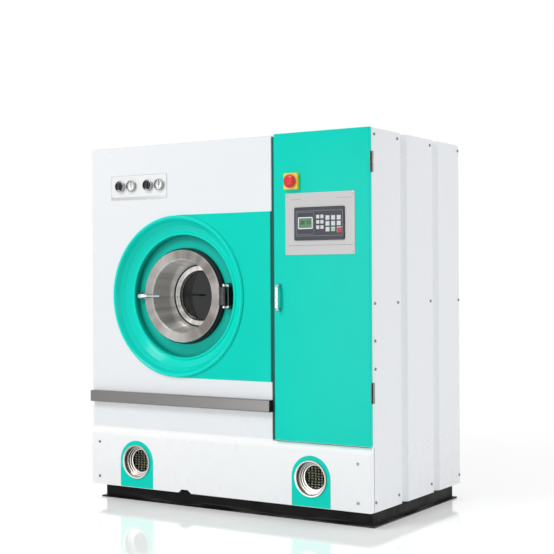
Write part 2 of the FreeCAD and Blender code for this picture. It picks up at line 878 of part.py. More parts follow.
def door_bowl():
    """Deep spun bowl that carries the glass into the drum mouth."""
    body = new_body("door_bowl", *AXIS)
    start = S.ring_front + 5
    back = S.ring_front + S.ring_thick
    end = S.ring_front + S.bowl_depth
    wall = S.bowl_wall
    rim = S.ring_inner
    foot = S.bowl_end
    glass = S.glass_radius
    outer = [(rim, start), (rim, back + 4), (foot + 10, back + S.bowl_depth / 2),
             (foot + 4, end - 18), (foot - 2, end - 6), (foot - 10, end),
             (glass + 14, end), (glass + 14, end + 8 + S.glass_thick)]
    inner = [(glass + 9, end + 8 + S.glass_thick), (glass + 9, end + 8), (glass, end + 8),
             (glass, end - 4), (glass + 4, end - wall * 2), (glass + 8, end - wall),
             (foot - 12, end - wall), (foot - 4 - wall, end - 7),
             (foot + 4 - wall, end - 19), (foot + 10 - wall, back + S.bowl_depth / 2),
             (rim - wall, back + 4), (rim - wall, start)]
    turn(body, sketch(body, "XY_Plane", 0, [outer + inner]))
    return body


def door_glass():
    """Thick round window clamped in the bowl's end."""
    body = new_body("door_glass", *AXIS)
    seat = S.ring_front + S.bowl_depth + 8
    pad(body, sketch(body, "XZ_Plane", -(seat + S.glass_thick), circles=[
        (0, 0, S.glass_radius + 8.5)]), S.glass_thick)
    return body


def hinge_point():
    """Centre of the loading door's vertical hinge pin."""
    return AXIS[0] + S.hinge_offset, FRONT + S.ring_front + S.ring_thick - 3, AXIS[2]


def door_hinge_arm():
    """Forged arm from the door ring to the hinge pin, with its knuckle."""
    body = new_body("door_hinge_arm", *hinge_point())
    reach = S.hinge_offset - S.ring_outer + 24
    seat = -(S.ring_thick - 3)
    half = S.hinge_height / 2 - 34
    slab(body, "XY_Plane", -half, [(-reach, seat - 6), (4, seat - 6), (9, -9), (9, 0),
                                   (-9, 0), (-9, seat), (-reach, seat)], 2 * half)
    pad(body, sketch(body, "XY_Plane", -half, circles=[(0, 0, S.hinge_pin + 1)]), 2 * half)
    pocket_both(body, sketch(body, "XY_Plane", 0, circles=[
        (0, 0, S.hinge_pin / 2 + S.hinge_play)]), S.hinge_height + 20)
    return body


def door_hinge_bracket():
    """Bracket on the bezel floor with two eyes and the vertical hinge pin."""
    body = new_body("door_hinge_bracket", *hinge_point())
    half = S.hinge_height / 2
    seat = S.bezel_floor_depth - S.ring_front - S.ring_thick + 3
    slab(body, "XZ_Plane", -seat, rectangle(-6, -half, 40, half), 5)
    gap = half - 33
    ear = [(-8, -6), (-8, 6), (0, 10), (12, seat - 1), (26, seat - 1), (8, -6), (0, -10)]
    slab(body, "XY_Plane", gap, ear, 16)
    slab(body, "XY_Plane", -gap - 16, ear, 16)
    pad(body, sketch(body, "XY_Plane", -half + 12, circles=[
        (0, 0, S.hinge_pin / 2)]), S.hinge_height - 24)
    return body


def latch_keeper():
    """Hook on the bezel floor that the latch tongue turns behind."""
    body = new_body("latch_keeper", AXIS[0], FRONT + S.bezel_floor_depth, AXIS[2])
    lip = S.ring_front + S.ring_thick - S.bezel_floor_depth + 1.5
    start = S.latch_offset + S.latch_spindle + 2
    end = S.latch_offset + S.tongue_length + 6
    hook = [(-start, lip), (-end - 6, lip), (-end - 6, -4), (-end - 8, -4), (-end - 8, 0),
            (-end + 26, 0), (-end + 26, -4), (-end, -4), (-end, lip + 4.5), (-start, lip + 4.5)]
    slab(body, "XY_Plane", -16, hook, 32)
    return body


def latch_handle():
    """Lever, spindle and tongue of the loading door latch."""
    body = new_body("latch_handle", AXIS[0] - S.latch_offset, FRONT + S.ring_front, AXIS[2])
    proud = S.lever_proud
    half = S.lever_width / 2
    tip = S.lever_reach
    grip = [(-14, 0), (-13, half * 0.55), (-6, half * 0.92), (4, half), (16, half * 0.9),
            (30, half * 0.55), (42, half * 0.42), (tip - 5, half * 0.42), (tip, half * 0.2),
            (tip, 0)]
    turn(body, sketch(body, "XZ_Plane", proud - S.lever_thick / 2, [grip]), "H_Axis")
    pad(body, sketch(body, "XZ_Plane", 0.4, circles=[(0, 0, S.latch_spindle + 2)]),
        proud - S.lever_thick / 2)
    tail = S.ring_thick + 7 + S.tongue_thick
    pad(body, sketch(body, "XZ_Plane", -tail, circles=[(0, 0, S.latch_spindle)]), tail + 4)
    width = S.latch_spindle - 0.5
    slab(body, "XZ_Plane", -tail, rectangle(-width, -S.tongue_length, width, 0),
         S.tongue_thick)
    return body


# ---------------------------------------------------------------- tub, drum and drive
def wash_tub():
    """Sealed tub: mouth neck, front plate, barrel and back plate in one shell."""
    body = new_body("wash_tub", *AXIS)
    wall = S.tub_wall
    neck = S.bezel_floor_depth - 20
    front = S.tub_front
    back = S.tub_front + S.tub_depth
    radius = S.tub_radius
    section = [(S.tub_mouth, neck), (S.tub_mouth + wall, neck), (S.tub_mouth + wall, front),
               (radius - 24, front), (radius, front + 24), (radius, back),
               (S.housing_radius, back), (S.housing_radius, back - wall),
               (radius - wall, back - wall), (radius - wall, front + 25),
               (radius - 25, front + wall), (S.tub_mouth, front + wall)]
    turn(body, sketch(body, "XY_Plane", 0, [section]))
    gauge = S.sheet_gauge
    edge = -S.duct_width / 2 - 60
    near_y = S.tub_front + 60
    fan_x = S.duct_width / 2 - 60
    fan_y = S.tub_front + 60 + S.duct_depth / 2 - S.fan_radius - S.fan_gap
    ports = [rectangle(edge + 60 + gauge, near_y + 40 + gauge,
                       edge + S.duct_width - 60 - gauge, near_y + S.duct_depth - 60 - gauge),
             rectangle(fan_x + 3, fan_y + 3, fan_x + S.fan_width - 3,
                       fan_y + S.fan_spout - 3)]
    pocket(body, sketch(body, "XY_Plane", radius + 1, ports), radius / 3)
    return body


def tub_gasket():
    """Moulded rubber ring on the tub's neck that the door ring presses on."""
    body = new_body("tub_gasket", *AXIS)
    neck = S.bezel_floor_depth - 20
    face = S.ring_front + S.ring_thick + S.door_clearance
    outer = S.tub_mouth + S.tub_wall + S.gasket_wall
    inner = S.tub_mouth - 6
    section = [(inner, neck - 1), (inner + 4, face + 2), (inner + 10, face),
               (outer - 8, face), (outer, face + 4), (outer, neck + 26),
               (S.tub_mouth + S.tub_wall, neck + 26), (S.tub_mouth + S.tub_wall, neck),
               (S.tub_mouth, neck), (inner, neck)]
    turn(body, sketch(body, "XY_Plane", 0, [section]))
    return body


def bearing_housing():
    """Cast housing bolted on the tub's back, bored for two bearings."""
    body = new_body("bearing_housing", *AXIS)
    start = S.tub_front + S.tub_depth
    end = start + S.housing_length
    bore = S.bearing_outer
    section = [(S.shaft_radius + 4, start - 8), (S.housing_radius - 0.5, start - 8),
               (S.housing_radius - 0.5, start), (S.housing_radius + 60, start),
               (S.housing_radius + 60, start + 14), (S.housing_radius + 6, start + 20),
               (bore + 12, start + 60), (bore + 12, end), (bore, end),
               (bore, end - S.bearing_width - 4), (bore - 6, end - S.bearing_width - 4),
               (bore - 6, start + S.bearing_width + 4), (bore, start + S.bearing_width + 4),
               (bore, start), (S.shaft_radius + 4, start)]
    turn(body, sketch(body, "XY_Plane", 0, [section]))
    return body


def shaft_bearings():
    """The two ball bearings that carry the drum shaft."""
    body = new_body("shaft_bearings", *AXIS)
    start = S.tub_front + S.tub_depth
    inner = S.shaft_radius + S.hinge_play
    outer = S.bearing_outer
    for low in (start + 2, start + S.housing_length - S.bearing_width - 2):
        high = low + S.bearing_width
        section = [(inner, low), (inner + 6, low), (inner + 7, low + 3), (outer - 7, low + 3),
                   (outer - 6, low), (outer, low), (outer, high), (outer - 6, high),
                   (outer - 7, high - 3), (inner + 7, high - 3), (inner + 6, high),
                   (inner, high)]
        turn(body, sketch(body, "XY_Plane", 0, [section]))
    return body


def drum_ends():
    """Distances from the front sheet to the drum's front and back faces."""
    front = S.tub_front + S.drum_end_gap
    return front, S.tub_front + S.tub_depth - S.drum_end_gap


def drum_front():
    """Front ring of the drum: rolled mouth lip, flat web and drawn corner."""
    body = new_body("drum_front", *AXIS)
    wall = S.drum_wall
    front, back = drum_ends()
    radius = S.drum_radius
    section = [(S.drum_mouth, front + S.drum_lip), (S.drum_mouth, front + 4),
               (S.drum_mouth + 4, front), (radius - 20, front), (radius, front + 20),
               (radius, front + 24), (radius - wall, front + 24), (radius - wall, front + 21),
               (radius - 21, front + wall), (S.drum_mouth + 5, front + wall),
               (S.drum_mouth + wall, front + 5), (S.drum_mouth + wall, front + S.drum_lip)]
    turn(body, sketch(body, "XY_Plane", 0, [section]))
    return body


def drum():
    """Perforated drum: barrel with rows of holes, back plate, lifters, shaft."""
    body = new_body("drum", *AXIS)
    wall = S.drum_wall
    front, back = drum_ends()
    start = front + 24
    radius = S.drum_radius
    tail = belt_plane() + S.hub_half + 8
    section = [(radius, start), (radius, back - 20), (radius - 20, back), (90, back),
               (50, back + 14), (S.shaft_radius, back + 14), (S.shaft_radius, tail), (0, tail),
               (0, back - 12), (60, back - 10), (86, back - wall), (radius - 21, back - wall),
               (radius - wall, back - 21), (radius - wall, start)]
    turn(body, sketch(body, "XY_Plane", 0, [section]))
    reach = radius - S.lifter_height
    half = S.lifter_base / 2
    between = math.pi / SIZES["perforation_columns"]
    root = radius - wall / 2
    foot = root - half * half / (2 * root)
    lifter = turned([(-half, foot), (-14, reach), (14, reach), (half, foot), (0, root)],
                    between)
    rib = slab(body, "XZ_Plane", -(back - 22), lifter, back - start - 24)
    around(body, rib, 3)
    pitch = (back - front - 140) / (S.perforation_rows - 1)
    rows = [(0, front + 70 + pitch * row, S.perforation / 2)
            for row in range(SIZES["perforation_rows"])]
    holes = sketch(body, "XY_Plane", radius - 30, circles=rows)
    cut = pocket(body, holes, 40, True)
    around(body, cut, S.perforation_columns)
    return body


def drum_pulley():
    """Large grooved pulley with five lightening holes."""
    body = new_body("drum_pulley", *AXIS)
    middle = belt_plane()
    half = S.pulley_width / 2
    rim = S.pulley_radius
    bore = S.shaft_radius
    hub = S.hub_half
    section = [(bore, middle - hub), (bore + 18, middle - hub), (bore + 20, middle - 5),
               (rim - 22, middle - 5), (rim - 20, middle - half), (rim + 4, middle - half),
               (rim + 4, middle - 12), (rim - 8, middle - 8), (rim - 8, middle + 8),
               (rim + 4, middle + 12), (rim + 4, middle + half), (rim - 20, middle + half),
               (rim - 22, middle + 5), (bore + 20, middle + 5), (bore + 18, middle + hub),
               (bore, middle + hub)]
    turn(body, sketch(body, "XY_Plane", 0, [section]))
    window = sketch(body, "XZ_Plane", -middle, circles=[(0, rim * 0.56, 28)])
    cut = pocket_both(body, window, 30)
    around(body, cut, 5)
    return body


def belt_plane():
    """Distance from the front sheet to the middle of the belt."""
    return S.tub_front + S.tub_depth + S.housing_length + S.pulley_gap + S.hub_half


def motor_point():
    """Axis of the drive motor in the model's frame."""
    return across(S.motor_across), FRONT, above(S.motor_up)


def motor_pulley():
    """Small grooved pulley and the motor shaft it is keyed on."""
    body = new_body("motor_pulley", *motor_point())
    middle = belt_plane()
    half = S.pulley_width / 2
    rim = S.motor_pulley_radius
    shaft = S.motor_shaft_radius
    tail = middle + half + 6
    head = middle - 78
    section = [(0, head), (shaft, head), (shaft, middle - half), (rim + 4, middle - half),
               (rim + 4, middle - 12), (rim - 8, middle - 8), (rim - 8, middle + 8),
               (rim + 4, middle + 12), (rim + 4, middle + half), (shaft + 6, middle + half),
               (shaft + 6, tail), (0, tail)]
    turn(body, sketch(body, "XY_Plane", 0, [section]))
    return body


def drive_belt():
    """Belt lying on both pulleys: two arcs joined by tangent runs."""
    middle = belt_plane()
    big = S.pulley_radius - 8 + 0.5
    small = S.motor_pulley_radius - 8 + 0.5
    run_x = (S.motor_across - DRUM_ACROSS).value
    run_z = SIZES["motor_up"] - SIZES["drum_up"]
    distance = math.hypot(run_x, run_z)
    body = new_body("drive_belt", *AXIS)
    towards = math.atan2(run_z, run_x)
    for extra in (S.belt_thick, 0):
        lean = math.acos((big.value - small.value) / distance)
        corners = []
        for side in (1, -1):
            angle = towards + side * lean
            unit_x = math.cos(angle)
            unit_z = math.sin(angle)
            corners.append(((big + extra) * unit_x, (big + extra) * unit_z))
            corners.append((run_x + (small + extra) * unit_x, run_z + (small + extra) * unit_z))
        outline = [corners[0], corners[1], corners[3], corners[2]]
        parts = [sketch(body, "XZ_Plane", -(middle + 7), [outline]),
                 sketch(body, "XZ_Plane", -(middle + 7), circles=[(0, 0, big + extra)]),
                 sketch(body, "XZ_Plane", -(middle + 7), circles=[
                     (run_x, run_z, small + extra)])]
        for part in parts:
            if size(extra).value:
                pad(body, part, 14)
            else:
                pocket(body, part, 16, True)
    return body


def drive_motor():
    """Flange motor with cooling ribs, terminal box and its welded stand."""
    body = new_body("drive_motor", *motor_point())
    end = belt_plane() - 60
    start = end - S.motor_length
    radius = S.motor_radius
    shaft = S.motor_shaft_radius + S.hinge_play
    section = [(0, start), (radius - 22, start), (radius - 8, start + 14),
               (radius - 8, end - 14), (radius, end - 14), (radius, end - 6),
               (radius - 40, end), (shaft, end), (shaft, end - 22), (0, end - 22)]
    turn(body, sketch(body, "XY_Plane", 0, [section]))
    rib = slab(body, "XZ_Plane", -(end - 22), rectangle(-1.5, radius - 12, 1.5, radius),
               S.motor_length - 44)
    around(body, rib, 16)
    leg = S.motor_up
    foot = 110
    stand = [(-foot, -leg), (foot, -leg), (foot, 6 - leg), (foot - 34, 6 - leg),
             (foot - 34, -radius + 12), (34 - foot, -radius + 12), (34 - foot, 6 - leg),
             (-foot, 6 - leg)]
    slab(body, "XZ_Plane", -(end - 26), stand, S.motor_length - 60)
    inside = [(40 - foot, -leg - 1), (foot - 40, -leg - 1), (foot - 40, 4 - radius),
              (40 - foot, 4 - radius)]
    pocket(body, sketch(body, "XZ_Plane", -(start + 20), [inside]), S.motor_length - 30)
    slab(body, "XZ_Plane", -(end - 60), rectangle(-34, radius - 14, 34, radius + 30), 80)
    return body


# ---------------------------------------------------------------- air and solvent
def fan_point():
    """Centre of the fan housing's inlet face, on the end of the air duct."""
    return (across(DRUM_ACROSS + S.duct_width / 2 - 60),
            behind(S.tub_front + 60 + S.duct_depth / 2), above(S.fan_up))


def fan_housing():
    """Flat round housing on the duct's open end: inlet eye, outlet down to the tub."""
    body = new_body("fan_housing", *fan_point())
    radius = S.fan_radius + S.fan_gap
    wide = S.fan_width
    bore = S.motor_shaft_radius + S.hinge_play
    outside = [(0, 0), (0, radius), (wide, radius), (wide, 60), (wide + 110, 60),
               (wide + 120, 50), (wide + 120, 0)]
    turn(body, sketch(body, "XY_Plane", 0, [outside]), "H_Axis")
    drop = S.fan_up - S.drum_up
    spout = S.fan_spout
    slab(body, "YZ_Plane", 0, [(-radius, 0), (spout - radius, -radius * 0.8),
                               (spout - radius, -drop), (-radius, -drop)], wide)
    inside = [(-1, 0), (-1, 60), (3, 60), (3, radius - 3), (wide - 3, radius - 3),
              (wide - 3, bore), (wide + 60, bore), (wide + 60, 0)]
    turn(body, sketch(body, "XY_Plane", 0, [inside]), "H_Axis", True)
    passage = [(3 - radius, 0), (spout - radius - 3, -radius * 0.75),
               (spout - radius - 3, -drop - 1), (3 - radius, -drop - 1)]
    pocket(body, sketch(body, "YZ_Plane", wide - 3, [passage]), wide - 6)
    saddle = sketch(body, "XZ_Plane", 0, circles=[(60 - S.duct_width / 2, -drop, S.tub_radius)])
    pocket_both(body, saddle, 4 * radius)
    return body


def fan_impeller():
    """Backward-curved impeller: hub, back plate and a ring of blades."""
    body = new_body("fan_impeller", *fan_point())
    wide = S.fan_width
    rim = S.fan_radius
    shaft = S.motor_shaft_radius
    section = [(30, 0), (34, 22), (wide - 22, 22), (wide - 22, rim), (wide - 19, rim),
               (wide - 19, shaft), (wide + 50, shaft), (wide + 50, 0)]
    turn(body, sketch(body, "XY_Plane", 0, [section]), "H_Axis")
    blade = [(-30, 52), (-12, 80), (18, rim - 16), (46, rim - 20), (46, rim - 17),
             (16, rim - 12), (-15, 80), (-33, 52)]
    vane = slab(body, "YZ_Plane", 24, blade, wide - 45)
    around(body, vane, S.fan_blades, "X_Axis")
    return body


def air_duct():
    """Sheet duct from the tub to the fan, with the heating and cooling coils inside."""
    body = new_body("air_duct", across(DRUM_ACROSS - S.duct_width / 2 - 60),
                    behind(S.tub_front + 60), above(S.drum_up + S.tub_radius + 2))
    wide = S.duct_width
    deep = S.duct_depth
    high = S.duct_height
    slab(body, "XY_Plane", 0, rectangle(0, 0, wide, deep), high)
    hollow(body, faces_where(body.Tip, lambda box: near(box.XMin, wide)), S.sheet_gauge)
    coil = slab(body, "XY_Plane", 60, rectangle(40, 1, 52, deep - 1), high - 120)
    along(body, coil, "X_Axis", 220, 6)
    gauge = S.sheet_gauge
    pad(body, sketch(body, "XY_Plane", -90, [
        rectangle(60, 40, wide - 60, deep - 60),
        rectangle(60 + gauge, 40 + gauge, wide - 60 - gauge, deep - 60 - gauge)]), 91)
    pocket(body, sketch(body, "XY_Plane", gauge + 1, [rectangle(
        60 + gauge, 40 + gauge, wide - 60 - gauge, deep - 60 - gauge)]), gauge + 3)
    saddle = sketch(body, "XZ_Plane", 0, circles=[
        (S.duct_width / 2 + 60, -S.tub_radius - 2, S.tub_radius)])
    pocket_both(body, saddle, 2 * deep + 20)
    return body


def solvent_pump():
    """Centrifugal pump: volute, motor and foot on the plinth's front cross member."""
    body = new_body("solvent_pump", across(SPLIT - 280), behind(248), SILL + 96)
    radius = S.pump_radius
    section = [(0, -60), (26, -60), (26, -40), (radius, -34), (radius, 10), (radius - 20, 20),
               (radius - 14, 24), (radius - 14, 170), (radius - 24, 182), (0, 182)]
    turn(body, sketch(body, "XY_Plane", 0, [section]))
    slab(body, "XZ_Plane", -60, [(-60, -96), (60, -96), (60, -88), (26, -40), (-26, -40),
                                 (-60, -88)], 110)
    slab(body, "XZ_Plane", 12, rectangle(34, 20, 62, 130), 26)
    return body


def vessel(label, x, y, radius, height, lid):
    """Upright pressure vessel: domed ends, clamp rim, outlet and a skirt foot."""
    body = new_body(label, x, y, SILL)
    wall = 3
    section = [(radius - 10, 0), (radius - 10, 60), (radius, 70), (radius, height - 60),
               (radius + 12, height - 58), (radius + 12, height - 42), (radius, height - 40),
               (radius * 0.7, height - lid), (24, height), (24, height + 40), (18, height + 40),
               (18, height - 3), (radius * 0.7 - 3, height - lid - 3),
               (radius - wall, height - 44), (radius - wall, 74), (0, 66), (0, 60),
               (radius - 14, 58), (radius - 14, 0)]
    turn(body, sketch(body, "XZ_Plane", 0, [section]))
    return body


# ---------------------------------------------------------------- gauge plate
def gauge_points():
    """Across and up of the two gauges, then of the two regulator knobs."""
    gauges = [S.first_gauge_across, S.first_gauge_across + S.gauge_spacing]
    knobs = [gauge - S.knob_offset for gauge in gauges]
    return gauges, knobs


def gauge_plate():
    """Thin silver plate with a low boss that guides each regulator's stem."""
    body = new_body("gauge_plate", LEFT, FRONT, SILL)
    left = S.gauge_plate_left
    low = S.gauge_plate_up
    gauges, knobs = gauge_points()
    slab(body, "XZ_Plane", 0, rectangle(left, low, left + S.gauge_plate_width,
                                        low + S.gauge_plate_height), S.sheet_gauge)
    collars = [(knob, S.gauge_up, S.knob_radius - 2) for knob in knobs]
    pad(body, sketch(body, "XZ_Plane", 0, circles=collars), S.knob_boss)
    bores = [(knob, S.gauge_up, 4 + S.hinge_play) for knob in knobs]
    pocket_both(body, sketch(body, "XZ_Plane", 0, circles=bores), 60)
    return body


def gauge_cases():
    """Two round gauge cases with a plain dial floor, and the regulators' two collars."""
    gauges, knobs = gauge_points()
    body = new_body("gauge_cases", across(gauges[0]), FRONT - S.sheet_gauge, above(S.gauge_up))
    rim = S.gauge_radius
    reach = S.gauge_reach
    section = [(1.5 + S.hinge_play, 0), (rim - 1, 0), (rim, -3), (rim, -reach + 2),
               (rim - 2, -reach), (rim - 4, -reach), (rim - 5, -reach + 3), (rim - 5, -5),
               (1.5 + S.hinge_play, -5)]
    case = turn(body, sketch(body, "XY_Plane", 0, [section]))
    along(body, case, "X_Axis", S.gauge_spacing, 2)
    centre = -S.knob_offset
    collar = pad(body, sketch(body, "XZ_Plane", 0, circles=[(centre, 0, rim), (centre, 0, rim - 3)]),
                 reach)
    along(body, collar, "X_Axis", S.gauge_spacing, 2)
    lip = edges_where(body.Tip, lambda box: near(box.YMin, -reach) and near(box.YMax, -reach)
                      and box.XLength > (2 * rim - 1).value)
    fillet(body, lip, 1.5)
    return body


def gauge_pointer(label, gauge):
    """Needle of a gauge on its short arbor."""
    body = new_body(label, across(gauge), FRONT - S.sheet_gauge, above(S.gauge_up))
    pad(body, sketch(body, "XZ_Plane", 0.5, circles=[(0, 0, 1.5)]), 7.5)
    slab(body, "XZ_Plane", 6, [(-2, -6), (2, -6), (1, S.gauge_radius - 10), (0, S.gauge_radius - 7),
                               (-1, S.gauge_radius - 10)], 1.2)
    return body


def regulator_knob(label, knob):
    """Fluted black cap of a pressure regulator with a finger bar and its stem."""
    body = new_body(label, across(knob), FRONT - S.knob_boss, above(S.gauge_up))
    rim = S.knob_radius
    reach = S.knob_reach
    section = [(0, -1), (rim, -1), (rim, 4 - reach), (rim - 2, 1.5 - reach),
               (rim - 5, -reach), (0, -reach)]
    turn(body, sketch(body, "XY_Plane", 0, [section]))
    groove = sketch(body, "XZ_Plane", reach + 1, circles=[(0, rim + 1, 3.5)])
    cut = pocket(body, groove, reach - 2)
    around(body, cut, 12)
    slab(body, "XZ_Plane", reach - 1, rectangle(-3, 9 - rim, 3, rim - 5), 5)
    pad(body, sketch(body, "XZ_Plane", 1 - S.knob_boss, circles=[(0, 0, 4)]), S.knob_boss + 1)
    return body


# ---------------------------------------------------------------- control compartment
DOOR = (across(SPLIT + S.door_left), FRONT - S.door_clearance / 2, above(S.door_bottom))
DOOR_FACE = DOOR[1] - S.door_thick


def cabinet_door_leaf():
    """Folded door of the control compartment with a rolled front edge."""
    body = new_body("cabinet_door_leaf", *DOOR)
    wide = S.bay_width - S.door_left
    slab(body, "XZ_Plane", 0, rectangle(0, 0, wide, S.door_height), S.door_thick)
    for end, radius in ((0, S.door_bend), (wide, S.door_bend / 2)):
        bend = edges_where(body.Tip, lambda box: near(box.XMin, end) and near(box.XMax, end)
                           and near(box.YMin, -S.door_thick)
                           and near(box.YMax, -S.door_thick) and box.ZLength > 100)
        fillet(body, bend, radius)
    hollow(body, faces_where(body.Tip, lambda box: near(box.YMin, 0)), S.sheet_gauge)
    return body


def on_door(label, left, up, proud=0):
    """A body whose origin is a point on, or a little proud of, the door's front face."""
    return new_body(label, across(SPLIT + left), DOOR_FACE - proud, above(up))


def soft_block(body, wide, high, thick, corner):
    """A plate standing on the door with its four upright corners rounded."""
    slab(body, "XZ_Plane", 0, rectangle(0, 0, wide, high), thick)
    corners = edges_where(body.Tip, lambda box: box.XLength < 0.01 and box.ZLength < 0.01)
    fillet(body, corners, corner)


def control_plate():
    """Silver backing plate of the controls."""
    body = on_door("control_plate", S.control_left, S.control_up)
    soft_block(body, S.control_width, S.control_height, S.sheet_gauge, 5)
    return body


def controller_housing():
    """Moulded control unit with a chamfered front and a recess for its screen."""
    body = on_door("controller_housing", S.unit_left, S.unit_up, S.sheet_gauge)
    soft_block(body, S.unit_width, S.unit_height, S.unit_proud, 7)
    rim = edges_where(body.Tip, lambda box: near(box.YMin, -S.unit_proud)
                      and near(box.YMax, -S.unit_proud))
    fillet(body, rim, 1.5, "Chamfer")
    left = S.screen_left - S.unit_left
    low = S.screen_up - S.unit_up
    recess = sketch(body, "XZ_Plane", S.unit_proud + 1, [rectangle(
        left, low, left + S.screen_width, low + S.screen_height)])
    pocket(body, recess, 4)
    return body


def controller_display():
    """Screen module: a raised frame round a sunken window."""
    body = on_door("controller_display", S.screen_left + 0.5, S.screen_up + 0.5,
                   S.sheet_gauge + S.unit_proud)
    wide = S.screen_width - 1
    high = S.screen_height - 1
    slab(body, "XZ_Plane", -3, rectangle(0, 0, wide, high), 4)
    window = sketch(body, "XZ_Plane", 2, [rectangle(8, 9, wide - 7, high - 9)])
    pocket(body, window, 2)
    return body


def key_outlines():
    """Corner points of every key: a block of six, a block of nine, one larger."""
    outlines = []
    for column in range(2):
        for row in range(3):
            left = S.small_keys_left + column * S.small_key_pitch
            low = S.small_keys_up + row * S.small_row_pitch
            outlines.append(rectangle(left, low, left + S.small_key, low + S.small_key))
    for column in range(3):
        for row in range(3):
            left = S.large_keys_left + column * S.large_key_pitch
            low = S.large_keys_up + row * S.large_row_pitch
            grow = 6 if (column, row) == (2, 0) else 0
            outlines.append(rectangle(left, low - grow, left + S.large_key + grow,
                                      low + S.large_key))
    return outlines


def controller_keys():
    """Fifteen low keys of the control unit."""
    body = on_door("controller_keys", S.unit_left, S.unit_up, S.sheet_gauge + S.unit_proud)
    pad(body, sketch(body, "XZ_Plane", 0, key_outlines()), 1.6)
    return body


def pull_handle():
    """Chrome bow handle with two feet and a finger gap behind it."""
    body = on_door("pull_handle", S.handle_across, S.handle_up)
    tall = S.handle_height
    reach = S.handle_reach
    bow = [(0, 0), (-reach + 9, 5), (-reach, 18), (-reach, tall - 18), (-reach + 9, tall - 5),
           (0, tall), (0, tall - 17), (-reach + 14, tall - 19), (-reach + 10, tall - 27),
           (-reach + 10, 27), (-reach + 14, 19), (0, 17)]
    slab(body, "YZ_Plane", -8, bow, 16)
    soft = edges_where(body.Tip, lambda box: (near(box.XMin, 8) and near(box.XMax, 8)
                                              or near(box.XMin, -8) and near(box.XMax, -8))
                       and box.YMax < -0.01)
    fillet(body, soft, 3)
    return body


def stop_button_box():
    """Yellow surface box of the emergency stop."""
    body = on_door("stop_button_box", S.stop_box_left, S.stop_box_up)
    soft_block(body, S.stop_box_width, S.stop_box_height, S.stop_box_depth, 6)
    middle = (S.stop_box_width / 2, S.stop_box_height / 2)
    front = edges_where(body.Tip, lambda box: near(box.YMin, -S.stop_box_depth)
                        and near(box.YMax, -S.stop_box_depth))
    fillet(body, front, 3)
    bore = sketch(body, "XZ_Plane", S.stop_box_depth + 1, circles=[
        (*middle, 11 + S.hinge_play)])
    pocket(body, bore, S.stop_box_depth)
    return body


def stop_button():
    """Red mushroom head on its stem, pressed into the box."""
    x = across(SPLIT + S.stop_box_left + S.stop_box_width / 2)
    body = new_body("stop_button", x, DOOR_FACE - S.stop_box_depth,
                    above(S.stop_box_up + S.stop_box_height / 2))
    head = -(S.stop_travel + 1)
    rim = S.stop_radius
    stem = S.stop_box_depth - S.stop_travel - 2
    section = [(0, stem), (11, stem), (11, head), (rim - 3, head), (rim, head - 2),
               (rim, head - 5), (rim - 4, head - 9), (rim - 12, head - 12), (0, head - 13)]
    turn(body, sketch(body, "XY_Plane", 0, [section]))
    return body


HINGE_X = RIGHT + S.butt_radius + 0.5
HINGE_Y = FRONT - 1


def hinge_leaves(label, knuckles, fixed):
    """One half of both butt hinges: leaf, its knuckles and, when fixed, the pin."""
    body = new_body(label, HINGE_X, HINGE_Y, SILL)
    tall = S.butt_height
    step = tall / 3
    back = -S.butt_radius - 0.5
    if fixed:
        side = 1
        far = S.front_tray
    else:
        side = -1
        far = S.door_thick - 4
    clear = S.butt_radius + 0.5
    inner = back + S.butt_leaf
    leaf = rectangle(back, side * clear, inner, side * far)
    web = [(back, 0), (0, 0), (0, side * 1.8), (inner, side * 1.8),
           (inner, side * (clear + 0.1)), (back, side * (clear + 0.1))]
    leaf_ends = [middle - tall / 2 for middle in (S.lower_butt_up, S.upper_butt_up)]
    for low in leaf_ends:
        slab(body, "XY_Plane", low, leaf, tall)
        for number in knuckles:
            start = low + step * number + 0.4
            pad(body, sketch(body, "XY_Plane", start, circles=[(0, 0, S.butt_radius)]),
                step - 0.8)
            slab(body, "XY_Plane", start, web, step - 0.8)
    for low in leaf_ends:
        if fixed:
            pad(body, sketch(body, "XY_Plane", low, circles=[(0, 0, S.butt_pin)]), tall)
        else:
            bore = sketch(body, "XY_Plane", low - 1, circles=[
                (0, 0, S.butt_pin + S.hinge_play)])
            pocket(body, bore, tall + 2, True)
    return body


def switchgear_plate():
    """Folded mounting plate across the control compartment."""
    left = SPLIT + S.panel_gap + 2 * S.sheet_gauge
    wide = S.cabinet_width - S.side_tray - S.angle_wall - left
    body = new_body("switchgear_plate", across(left), behind(S.gear_plate_back), above(400))
    slab(body, "XZ_Plane", 0, rectangle(0, 0, wide, 1240), 20, True)
    hollow(body, faces_where(body.Tip, lambda box: near(box.YMin, 20)), S.sheet_gauge)
    return body


def switchgear():
    """Drive inverter, breakers, contactors, terminals and wiring ducts on rails."""
    left_end = SPLIT + S.panel_gap + 2 * S.sheet_gauge + 23
    body = new_body("switchgear", across(left_end), behind(S.gear_plate_back), above(420))
    share = (S.cabinet_width - S.side_tray - S.angle_wall - left_end - 30) / 430

    def blocks(depth, *places):
        outlines = [rectangle(left * share, low, (left + wide) * share, low + high)
                    for left, low, wide, high in places]
        pad(body, sketch(body, "XZ_Plane", 0, outlines), depth)

    blocks(50, (0, 0, 430, 36), (0, 340, 430, 36), (0, 640, 430, 36), (0, 900, 430, 36),
           (0, 1160, 430, 36))
    blocks(50.5, (0, 20, 36, 1160), (394, 20, 36, 1160))
    blocks(8, (30, 480, 370, 30), (30, 770, 370, 30), (30, 1040, 370, 30))
    blocks(120, (60, 80, 170, 230))
    blocks(90, (250, 110, 120, 160))
    blocks(64, *[(60 + number * 36, 1000, 33, 84) for number in range(8)])
    blocks(88, *[(60 + number * 60, 730, 54, 84) for number in range(5)])
    blocks(44, *[(60 + number * 24, 470, 21, 50) for number in range(12)])
    return body


